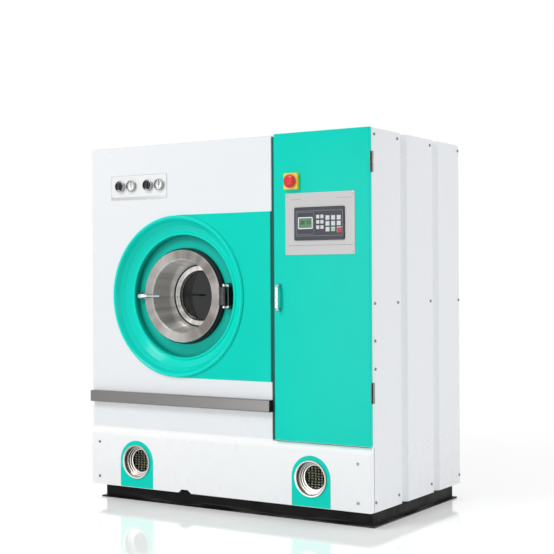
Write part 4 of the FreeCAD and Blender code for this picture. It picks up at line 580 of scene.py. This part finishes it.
cast_chrome = Finish("cast chrome", {"Metallic": 1.0})
cast_tone = cast_chrome.cloud(0.01, 3.0)
cast_height = cast_chrome.part(cast_chrome.place(), "Z")
# The stand's spine between the lugs is coloured dark as painted shade.
painted_spine_shade = cast_height.above(0.989) * (1 - cast_height.above(1.079))
cast_chrome.vary(
    colour=cast_chrome.blend(painted_spine_shade, cast_chrome.blend(
        cast_tone, (0.34, 0.34, 0.34, 1), (0.70, 0.70, 0.70, 1)), (0.07, 0.07, 0.07, 1)),
    roughness=0.12 + 0.12 * cast_tone)
cast_chrome.emboss(cast_chrome.cloud(0.002, 2.0), 0.0001, 0.4)
lug_ring = ((0.0050, 0.0), (0.0092, 0.0), (0.0102, 0.0010), (0.0102, 0.0110),
            (0.0092, 0.0120), (0.0050, 0.0120))
lugs = [(upright([(radius, rise + foot) for radius, rise in lug_ring], pin_x, pin_y), False)
        for foot in lug_feet]
webs = [block((-0.0265, foot + 0.001), (0.0090, foot + 0.011), 0.002, bezel_floor - 0.001, pin_y,
              0.001) for foot in lug_feet]
spine = block((0.0040, 0.9765), (0.0100, 1.0915), 0.002, bezel_floor - 0.001, -0.4270, 0.0015)
door_hinge_stand = skin("door_hinge_stand", [*lugs, *webs, spine], cast_chrome, "cabinet")
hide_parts("door_hinge_bracket")
skin("door_hinge_packing", [block((-0.0265, 0.9700), (0.0205, 1.0980), 0.005,
                                  bezel_floor - 0.0002, bezel_floor - 0.0055, 0.002)],
     seal_rubber, "cabinet")

# ---- bumper ---------------------------------------------------------------------------
# A folded stainless bar runs across the front below the door, and carts knock against it.
# Its grain runs lengthwise, with a few longer dull scrapes.
bumper_steel = Finish("brushed bumper steel", {"Metallic": 1.0})
lengthwise = bumper_steel.cloud((0.4, 0.001, 0.001), 3.0)
scrapes = bumper_steel.cloud((0.12, 0.01, 0.004), 2.0).between(0.62, 0.7)
bumper_steel.vary(
    colour=bumper_steel.blend(lengthwise, (0.165, 0.160, 0.156, 1), (0.245, 0.237, 0.231, 1)),
    roughness=0.28 + 0.12 * lengthwise + 0.2 * scrapes)
bumper_steel.emboss(lengthwise, 0.00008, 0.5)
bumper_steel.dress("bumper_bar")

# The seam of the front sheets under it is filled by a folded lap of the white enamel.  Where
# the control door's free edge closes, a dark teal strip stands on the frame as painted shade
# in the gap, tinted teal as a painted reflection.
front_face = -0.468
seam_low, seam_high = 0.364, 0.367
skin("front_sheet_lap", [block((-0.8085, seam_low + 0.0001), (0.2875, seam_high - 0.0001), 0.0012,
                               front_face + 0.0135, front_face + 0.0003, 0.0003)],
     white_enamel, "cabinet")
# Painted shade: a dark teal strip standing in for the shadowed gap beside the control door.
painted_gap_shade = Finish("door gap painted shade", {"IOR": 1.3})
gap_shade_tone = painted_gap_shade.cloud(0.03, 3.0)
painted_gap_shade.vary(
    colour=painted_gap_shade.blend(gap_shade_tone, (0.004, 0.075, 0.066, 1), (0.006, 0.120, 0.105, 1)),
    roughness=0.5 + 0.2 * gap_shade_tone)
painted_gap_shade.emboss(painted_gap_shade.cloud(0.0012, 2.0), 0.0002, 0.4)
full_length = ((0.2865, 0.3685), (0.3080, 1.7780))
beside_fascia = ((0.2785, 0.6365), (0.2862, 1.4315))
skin("door_gap_shade_strip", [
    block(low, high, 0.002, front_face - 0.0002, front_face - 0.0020, 0.0008)
    for low, high in (full_length, beside_fascia)], painted_gap_shade, "cabinet")

# The bumper's open end is closed by a black rubber plug.
plug = block((-0.4995, 0.4975), (-0.4690, 0.5525), 0.002, -0.2850, -0.2868, 0.0006)
skin("bumper_end_plug", [(plug[0][:, :, [1, 0, 2]] * (-1, 1, 1), False)], seal_rubber,
     "cabinet")

# ---- gauges and regulators ------------------------------------------------------------
# Two pressure gauges and two regulator knobs sit on a small satin plate of aluminium.
# The plate is anodised, with its brush grain running across.
satin_plate = Finish("satin aluminium plate", {"Metallic": 0.35})
plate_grain = satin_plate.cloud((0.12, 0.01, 0.0006), 3.0)
satin_plate.vary(
    colour=satin_plate.blend(plate_grain, (0.70, 0.715, 0.73, 1), (0.80, 0.81, 0.82, 1)),
    roughness=0.34 + 0.12 * plate_grain)
satin_plate.emboss(plate_grain, 0.00006, 0.4)
satin_plate.dress("gauge_plate")

knob_black = Finish("moulded black plastic", {"IOR": 1.5})
knob_tone = knob_black.cloud(0.01, 3.0)
knob_black.vary(
    colour=knob_black.blend(knob_tone, (0.010, 0.010, 0.012, 1), (0.022, 0.022, 0.025, 1)),
    roughness=0.22 + 0.15 * knob_tone)
knob_black.emboss(knob_black.cloud(0.0008, 2.0), 0.0001, 0.4)
knob_black.dress("regulator_knob_left", "regulator_knob_right", "gauge_pointer_left",
                 "gauge_pointer_right")

# Each gauge has a pale enamelled dial with plain ticks and figures under a domed lens.
dial_white = Finish("dial enamel", {"IOR": 1.45})
dial_tone = dial_white.cloud(0.01, 3.0)
dial_white.vary(
    colour=dial_white.blend(dial_tone, (0.80, 0.81, 0.80, 1), (0.86, 0.87, 0.86, 1)),
    roughness=0.3 + 0.1 * dial_tone)
dial_white.emboss(dial_white.cloud(0.001, 2.0), 0.00003, 0.3)
dial_ink = Finish("dial ink", {"IOR": 1.4})
ink_tone = dial_ink.cloud(0.002, 3.0)
dial_ink.vary(colour=dial_ink.blend(ink_tone, (0.03, 0.03, 0.034, 1), (0.07, 0.07, 0.075, 1)),
              roughness=0.5 + 0.2 * ink_tone)
dial_ink.emboss(ink_tone, 0.00001, 0.3)
lens_glass = Finish("gauge lens glass", {"IOR": 1.2, "Transmission Weight": 1.0,
                                         "Base Color": (0.99, 1.0, 0.99, 1)})
lens_film = lens_glass.cloud(0.02, 3.0)
lens_glass.vary(roughness=0.01 + 0.03 * lens_film)


def figures(name, entries, front, finish, body):
    """Flat plain figures: each entry is (text, x, z, height), set with its middle there."""
    points, faces, count = [], [], 0
    for text, x, z, height in entries:
        letters = bpy.data.curves.new(name, "FONT")
        letters.body = text
        letters.size = height * 1.4
        letters.extrude = 0.00006
        letters.align_x, letters.align_y = "CENTER", "CENTER"
        holder = bpy.data.objects.new(name, letters)
        bpy.context.scene.collection.objects.link(holder)
        bpy.context.view_layer.update()
        made = bpy.data.meshes.new_from_object(
            holder.evaluated_get(bpy.context.evaluated_depsgraph_get()))
        flat = np.zeros(len(made.vertices) * 3)
        made.vertices.foreach_get("co", flat)
        flat = flat.reshape(-1, 3)
        points.append(np.stack([x + flat[:, 0], front - flat[:, 2], z + flat[:, 1]], axis=-1))
        faces.extend([[corner + count for corner in face.vertices] for face in made.polygons])
        count += len(flat)
        bpy.data.objects.remove(holder)
        bpy.data.meshes.remove(made)
    mesh = bpy.data.meshes.new(name)
    mesh.from_pydata(np.concatenate(points).tolist(), [], faces)
    mesh.materials.append(finish.material)
    piece = bpy.data.objects.new(name, mesh)
    bpy.context.scene.collection.objects.link(piece)
    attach(piece, body)
    return piece


gauge_height = 1.586
dial_radius, dial_back, dial_face = 0.0228, -0.4750, -0.4754
lens_bow = [(dial_radius * math.sin(bend), -0.4815 - 0.0035 * math.cos(bend))
            for bend in np.linspace(0.06, math.pi / 2, 8)]
dial_sweep = (225, -45)
for side, gauge_x in (("left", -0.547), ("right", -0.370)):
    skin(f"gauge_dial_{side}", [(turned(((0.0018, dial_back), (dial_radius, dial_back),
                                         (dial_radius, dial_face), (0.0018, dial_face)),
                                        gauge_x, gauge_height), True)], dial_white, "cabinet")
    ticks = []
    for step, bearing in enumerate(np.radians(np.linspace(*dial_sweep, 31))):
        long_tick = step % 5 == 0
        reach = np.array([0.0180 if long_tick else 0.0195, 0.0215])
        half = 0.00025 if long_tick else 0.00012
        along = np.array([math.cos(bearing), math.sin(bearing)])
        aside = np.array([-along[1], along[0]]) * half
        flat = np.array([reach[0] * along - aside, reach[1] * along - aside,
                         reach[1] * along + aside, reach[0] * along + aside])
        ticks.append((np.stack([np.stack([gauge_x + flat[:, 0], np.full(4, depth),
                                          gauge_height + flat[:, 1]], axis=-1)
                                for depth in (dial_face + 0.0001, dial_face - 0.0002)]), False))
    skin(f"gauge_ticks_{side}", ticks, dial_ink, "cabinet")
    marks = [(str(2 * step), gauge_x + 0.0145 * math.cos(bearing),
              gauge_height + 0.0145 * math.sin(bearing), 0.0026)
             for step, bearing in enumerate(np.radians(np.linspace(*dial_sweep, 6)))]
    figures(f"gauge_figures_{side}", marks, dial_face - 0.0001, dial_ink, "cabinet")
    skin(f"gauge_lens_{side}", [(turned([*lens_bow, (dial_radius, -0.4805), (0.0010, -0.4835)],
                                        gauge_x, gauge_height), False)], lens_glass, "cabinet")

# ---- control door fittings ------------------------------------------------------------
# The process controller is a dark blue moulded box with a screen and rows of keys.
# Beside it the stop button stands in its yellow box, all in dyed, finely grained plastic.
plastics = {
    "controller moulding": ((0.012, 0.012, 0.026), (0.020, 0.020, 0.040),
                            ("controller_housing",)),
    "display window": ((0.075, 0.20, 0.095), (0.10, 0.24, 0.12), ("controller_display",)),
    "stop button red": ((0.62, 0.010, 0.022), (0.72, 0.018, 0.032), ("stop_button",)),
    "stop box yellow": ((0.86, 0.60, 0.05), (0.92, 0.66, 0.08), ("stop_button_box",)),
}
for name, (darker, lighter, nodes) in plastics.items():
    dyed = Finish(name, {"IOR": 1.46})
    dye = dyed.cloud(0.02, 3.0)
    dyed.vary(colour=dyed.blend(dye, (*darker, 1), (*lighter, 1)),
              roughness=0.26 + 0.14 * dye)
    dyed.emboss(dyed.cloud(0.0007, 2.0), 0.0001, 0.4)
    dyed.dress(*nodes)

# The plate behind it is anodised grey, with a thin engraved rule above and below, and a
# small screw in each corner.
plate_grey = Finish("anodised control plate", {"Metallic": 0.2})
brushed = plate_grey.cloud((0.15, 0.01, 0.0007), 3.0)
plate_grey.vary(
    colour=plate_grey.blend(brushed, (0.45, 0.44, 0.445, 1), (0.53, 0.52, 0.525, 1)),
    roughness=0.36 + 0.12 * brushed)
plate_grey.emboss(brushed, 0.00005, 0.4)
plate_grey.dress("control_plate")

plate_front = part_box("control_plate")[0].y
rule_ink = Finish("engraved rule", {"IOR": 1.4})
rule_tone = rule_ink.cloud(0.004, 2.0)
rule_ink.vary(colour=rule_ink.blend(rule_tone, (0.20, 0.19, 0.19, 1), (0.30, 0.29, 0.29, 1)),
              roughness=0.5 + 0.2 * rule_tone)
rule_ink.emboss(rule_tone, 0.00001, 0.3)
rules = [((0.404, 1.4782), (0.462, 1.4798)), ((0.647, 1.4782), (0.724, 1.4798)),
         ((0.386, 1.2672), (0.729, 1.2690))]
skin("plate_rules", [block(low, high, 0.0007, plate_front + 0.0001, plate_front - 0.0002,
                           0.0001) for low, high in rules], rule_ink, "cabinet_door")


def screw_head(x, z, seat, radius=0.0042):
    """A domed screw head on a plate whose front is at the seat's depth."""
    bend = np.linspace(0, math.pi / 2 - 0.12, 6)
    dome = [(radius * math.cos(b), seat - 0.0003 - radius * 0.5 * math.sin(b)) for b in bend]
    return turned([(radius * 0.9, seat + 0.0002), *dome], x, z, 20), False


gauge_metal = Finish("gauge case metal", {"Metallic": 1.0})
case_tone = gauge_metal.cloud(0.01, 3.0)
gauge_metal.vary(
    colour=gauge_metal.blend(case_tone, (0.30, 0.30, 0.30, 1), (0.48, 0.48, 0.48, 1)),
    roughness=0.16 + 0.14 * case_tone)
gauge_metal.emboss(gauge_metal.cloud(0.002, 2.0), 0.00006, 0.4)
gauge_metal.dress("gauge_cases")
# Painted shade: a grey frame round the gauge plate's edge and a grey strip along its foot.
painted_plate_edge_shade = Finish("gauge plate painted edge shade", {"Metallic": 0.35})
edge_shade_tone = painted_plate_edge_shade.cloud((0.1, 0.01, 0.002), 3.0)
painted_plate_edge_shade.vary(
    colour=painted_plate_edge_shade.blend(edge_shade_tone, (0.52, 0.53, 0.53, 1), (0.62, 0.63, 0.63, 1)),
    roughness=0.36 + 0.12 * edge_shade_tone)
painted_plate_edge_shade.emboss(edge_shade_tone, 0.00005, 0.3)
gauge_plate_low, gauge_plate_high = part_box("gauge_plate")
gauge_front = -0.470
skin("gauge_plate_edge_shade", [
    surround((gauge_plate_low.x, gauge_plate_low.z), (gauge_plate_high.x, gauge_plate_high.z), 0.003, 0.0028,
             gauge_front + 0.0002, gauge_front - 0.0006),
    block((gauge_plate_low.x + 0.002, gauge_plate_low.z + 0.002), (gauge_plate_high.x - 0.002, gauge_plate_low.z + 0.014),
          0.001, gauge_front + 0.0002, gauge_front - 0.0004, 0.0002)], painted_plate_edge_shade, "cabinet")

screw_metal = Finish("plated screw heads", {"Metallic": 1.0})
screw_tone = screw_metal.cloud(0.003, 3.0)
screw_metal.vary(
    colour=screw_metal.blend(screw_tone, (0.34, 0.34, 0.34, 1), (0.56, 0.56, 0.56, 1)),
    roughness=0.2 + 0.15 * screw_tone)
screw_metal.emboss(screw_tone, 0.00005, 0.4)
skin("control_plate_screws", [screw_head(x, z, plate_front) for x in (0.386, 0.729)
                              for z in (1.236, 1.498)], screw_metal,
     "cabinet_door")
skin("gauge_plate_screws", [screw_head(x, z, gauge_front, 0.0028) for x in (-0.674, -0.334)
                            for z in (1.534, 1.633)], screw_metal, "cabinet")

# The controller's face has a thin pale outline, a white frame round the screen with plain
# figures behind it, and pale keys of which the last two are green and red.
face_low, face_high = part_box("controller_housing")
face_front = face_low.y
outline_grey = Finish("printed outline", {"IOR": 1.45})
outline_tone = outline_grey.cloud(0.006, 2.0)
outline_grey.vary(
    colour=outline_grey.blend(outline_tone, (0.22, 0.23, 0.28, 1), (0.30, 0.31, 0.36, 1)),
    roughness=0.35 + 0.1 * outline_tone)
outline_grey.emboss(outline_tone, 0.00001, 0.3)
skin("controller_outline", [
    surround((face_low.x + 0.011, face_low.z + 0.019), (face_high.x - 0.006, face_high.z - 0.017),
             0.004, 0.0016, face_front + 0.0002, face_front - 0.0002),
    surround((face_low.x + 0.017, face_low.z + 0.027), (face_low.x + 0.106, face_high.z - 0.024),
             0.002, 0.0010, face_front + 0.0002, face_front - 0.0002)],
    outline_grey, "cabinet_door")

frame_white = Finish("white screen frame", {"IOR": 1.46})
frame_tone = frame_white.cloud(0.01, 2.0)
frame_white.vary(
    colour=frame_white.blend(frame_tone, (0.72, 0.76, 0.74, 1), (0.80, 0.83, 0.81, 1)),
    roughness=0.3 + 0.1 * frame_tone)
frame_white.emboss(frame_tone, 0.00002, 0.3)
screen_low, screen_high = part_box("controller_display")
skin("display_frame", [surround(
    (screen_low.x - 0.001, screen_low.z - 0.001), (screen_high.x + 0.001, screen_high.z + 0.001),
    0.005, 0.0048, screen_low.y + 0.001, screen_low.y - 0.0008)], frame_white, "cabinet_door")
screen_x = (screen_low.x + screen_high.x) / 2
screen_z = (screen_low.z + screen_high.z) / 2
figures("display_figures", [("20", screen_x - 0.017, screen_z + 0.002, 0.016),
                            ("35", screen_x + 0.017, screen_z + 0.002, 0.016)],
        screen_low.y - 0.0001, dial_ink, "cabinet_door")

key_low, key_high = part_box("controller_keys")
key_caps = Finish("key caps", {"IOR": 1.46})
key_spot = key_caps.place()
key_x, key_z = key_caps.part(key_spot, "X"), key_caps.part(key_spot, "Z")
lowest_row = 1 - key_z.above(key_low.z + 0.023)
last_column = key_x.above(key_high.x - 0.0245)
middle_column = key_x.above(key_high.x - 0.0535) * (1 - last_column)
key_tone = key_caps.cloud(0.012, 2.0)
pale_keys = key_caps.blend(key_tone, (0.56, 0.60, 0.62, 1), (0.68, 0.71, 0.72, 1))
green_key = key_caps.blend(lowest_row * middle_column, pale_keys, (0.36, 0.55, 0.36, 1))
key_caps.vary(colour=key_caps.blend(lowest_row * last_column, green_key,
                                    (0.50, 0.020, 0.045, 1)),
              roughness=0.3 + 0.1 * key_tone)
key_caps.emboss(key_caps.cloud(0.0008, 2.0), 0.00005, 0.3)
key_caps.dress("controller_keys")

# ---- hinges and screws ----------------------------------------------------------------
# The door hangs on two butt hinges, and the sheets are held by countersunk cross screws.
# Both are zinc-plated steel, dulled to a soft grey.
zinc_plate = Finish("zinc plated steel", {"Metallic": 1.0})
dulled = zinc_plate.cloud(0.004, 4.0)
zinc_plate.vary(
    colour=zinc_plate.blend(dulled, (0.13, 0.13, 0.135, 1), (0.30, 0.30, 0.305, 1)),
    roughness=0.25 + 0.2 * dulled)
zinc_plate.emboss(dulled, 0.00008, 0.4)
zinc_plate.dress("hinge_door_leaves", "hinge_frame_leaves", "panel_screws")

# ---- studio ---------------------------------------------------------------------------
# The machine stands on a smooth white floor under broad soft lamps.  Only the floor's
# shadow and a faint mirror image break the white around it.
floor_mesh = bpy.data.meshes.new("studio floor")
half_floor = 30
floor_mesh.from_pydata([(-half_floor, -half_floor, -0.001), (half_floor, -half_floor, -0.001),
                        (half_floor, half_floor, -0.001), (-half_floor, half_floor, -0.001)],
                       [], [(0, 1, 2, 3)])
studio_floor = bpy.data.objects.new("studio_floor", floor_mesh)
bpy.context.scene.collection.objects.link(studio_floor)
floor_white = Finish("studio floor", {"IOR": 1.45, "Emission Strength": 1.0})
seen_ray = floor_white.node("ShaderNodeLightPath", {}, {}, "Is Camera Ray")
for ray in ("Is Glossy Ray", "Is Transmission Ray"):
    seen_ray = seen_ray.work_out("MAXIMUM", seen_ray,
                                 floor_white.node("ShaderNodeLightPath", {}, {}, ray))
floor_spot = floor_white.place()
floor_x, floor_y = floor_white.part(floor_spot, "X"), floor_white.part(floor_spot, "Y")
from_machine = (floor_x * floor_x + floor_y * floor_y) ** 0.5
floor_grain = floor_white.cloud(0.05, 3.0)
floor_white.vary(
    colour=floor_white.blend(floor_grain, (0.90, 0.90, 0.90, 1), (0.93, 0.93, 0.93, 1)),
    roughness=0.05 + 0.03 * floor_grain,
    glow=floor_white.blend(seen_ray, (0, 0, 0, 1), (0.24, 0.24, 0.24, 1)),
    alpha=1 - from_machine.between(2.2, 4.2))
floor_mesh.materials.append(floor_white.material)

world = bpy.data.worlds.new("studio")
bpy.context.scene.world = world
world.use_nodes = True
sky = world.node_tree
backdrop = sky.nodes["Background"]
backdrop.inputs["Color"].default_value = (1, 1, 1, 1)
lit_by = sky.nodes.new("ShaderNodeLightPath")
seen = lit_by.outputs["Is Camera Ray"]
for ray in ("Is Glossy Ray", "Is Transmission Ray"):
    either = sky.nodes.new("ShaderNodeMath")
    either.operation = "MAXIMUM"
    sky.links.new(seen, either.inputs[0])
    sky.links.new(lit_by.outputs[ray], either.inputs[1])
    seen = either.outputs[0]
level = sky.nodes.new("ShaderNodeMapRange")
sky.links.new(seen, level.inputs["Value"])
level.inputs["To Min"].default_value = 0.46
level.inputs["To Max"].default_value = 1.0
sky.links.new(level.outputs["Result"], backdrop.inputs["Strength"])

lamps = {
    "key": ((-1.4, -4.6, 5.0), (-0.2, -0.45, 0.9), 2.0, 135),
    "front": ((-1.6, -6.5, 0.9), (-0.1, -0.45, 0.8), 3.0, 88),
    "side": ((6.5, 0.5, 2.0), (0.8, 0.0, 0.9), 3.0, 145),
}
for name, (lamp_at, aimed_at, width, watts) in lamps.items():
    lamp = bpy.data.lights.new(name, "AREA")
    lamp.size = width
    lamp.energy = watts
    lamp_object = bpy.data.objects.new(name, lamp)
    aim = (Vector(aimed_at) - Vector(lamp_at)).to_track_quat("-Z", "Y")
    lamp_object.matrix_world = Matrix.Translation(lamp_at) @ aim.to_matrix().to_4x4()
    bpy.context.scene.collection.objects.link(lamp_object)

# ---- camera ---------------------------------------------------------------------------
# The lens stands at chest height before the right front corner and looks almost level.
yaw, pitch, roll = math.radians(32.51), math.radians(0.053), math.radians(-0.323)
forward = Vector((-math.sin(yaw) * math.cos(pitch), math.cos(yaw) * math.cos(pitch),
                  math.sin(pitch)))
level_right = forward.cross(Vector((0, 0, 1))).normalized()
level_up = level_right.cross(forward)
right = math.cos(roll) * level_right + math.sin(roll) * level_up
up = -math.sin(roll) * level_right + math.cos(roll) * level_up
lens = bpy.data.cameras.new("camera")
lens.lens = 79.08
lens.sensor_width = 36
lens.clip_end = 100
camera = bpy.data.objects.new("camera", lens)
turned_axes = Matrix((right, up, -forward)).transposed().to_4x4()
camera.matrix_world = Matrix.Translation((3.351, -5.234, 1.120)) @ turned_axes
bpy.context.scene.collection.objects.link(camera)
bpy.context.scene.camera = camera
bpy.context.scene.view_settings.view_transform = "Standard"

bpy.context.view_layer.update()
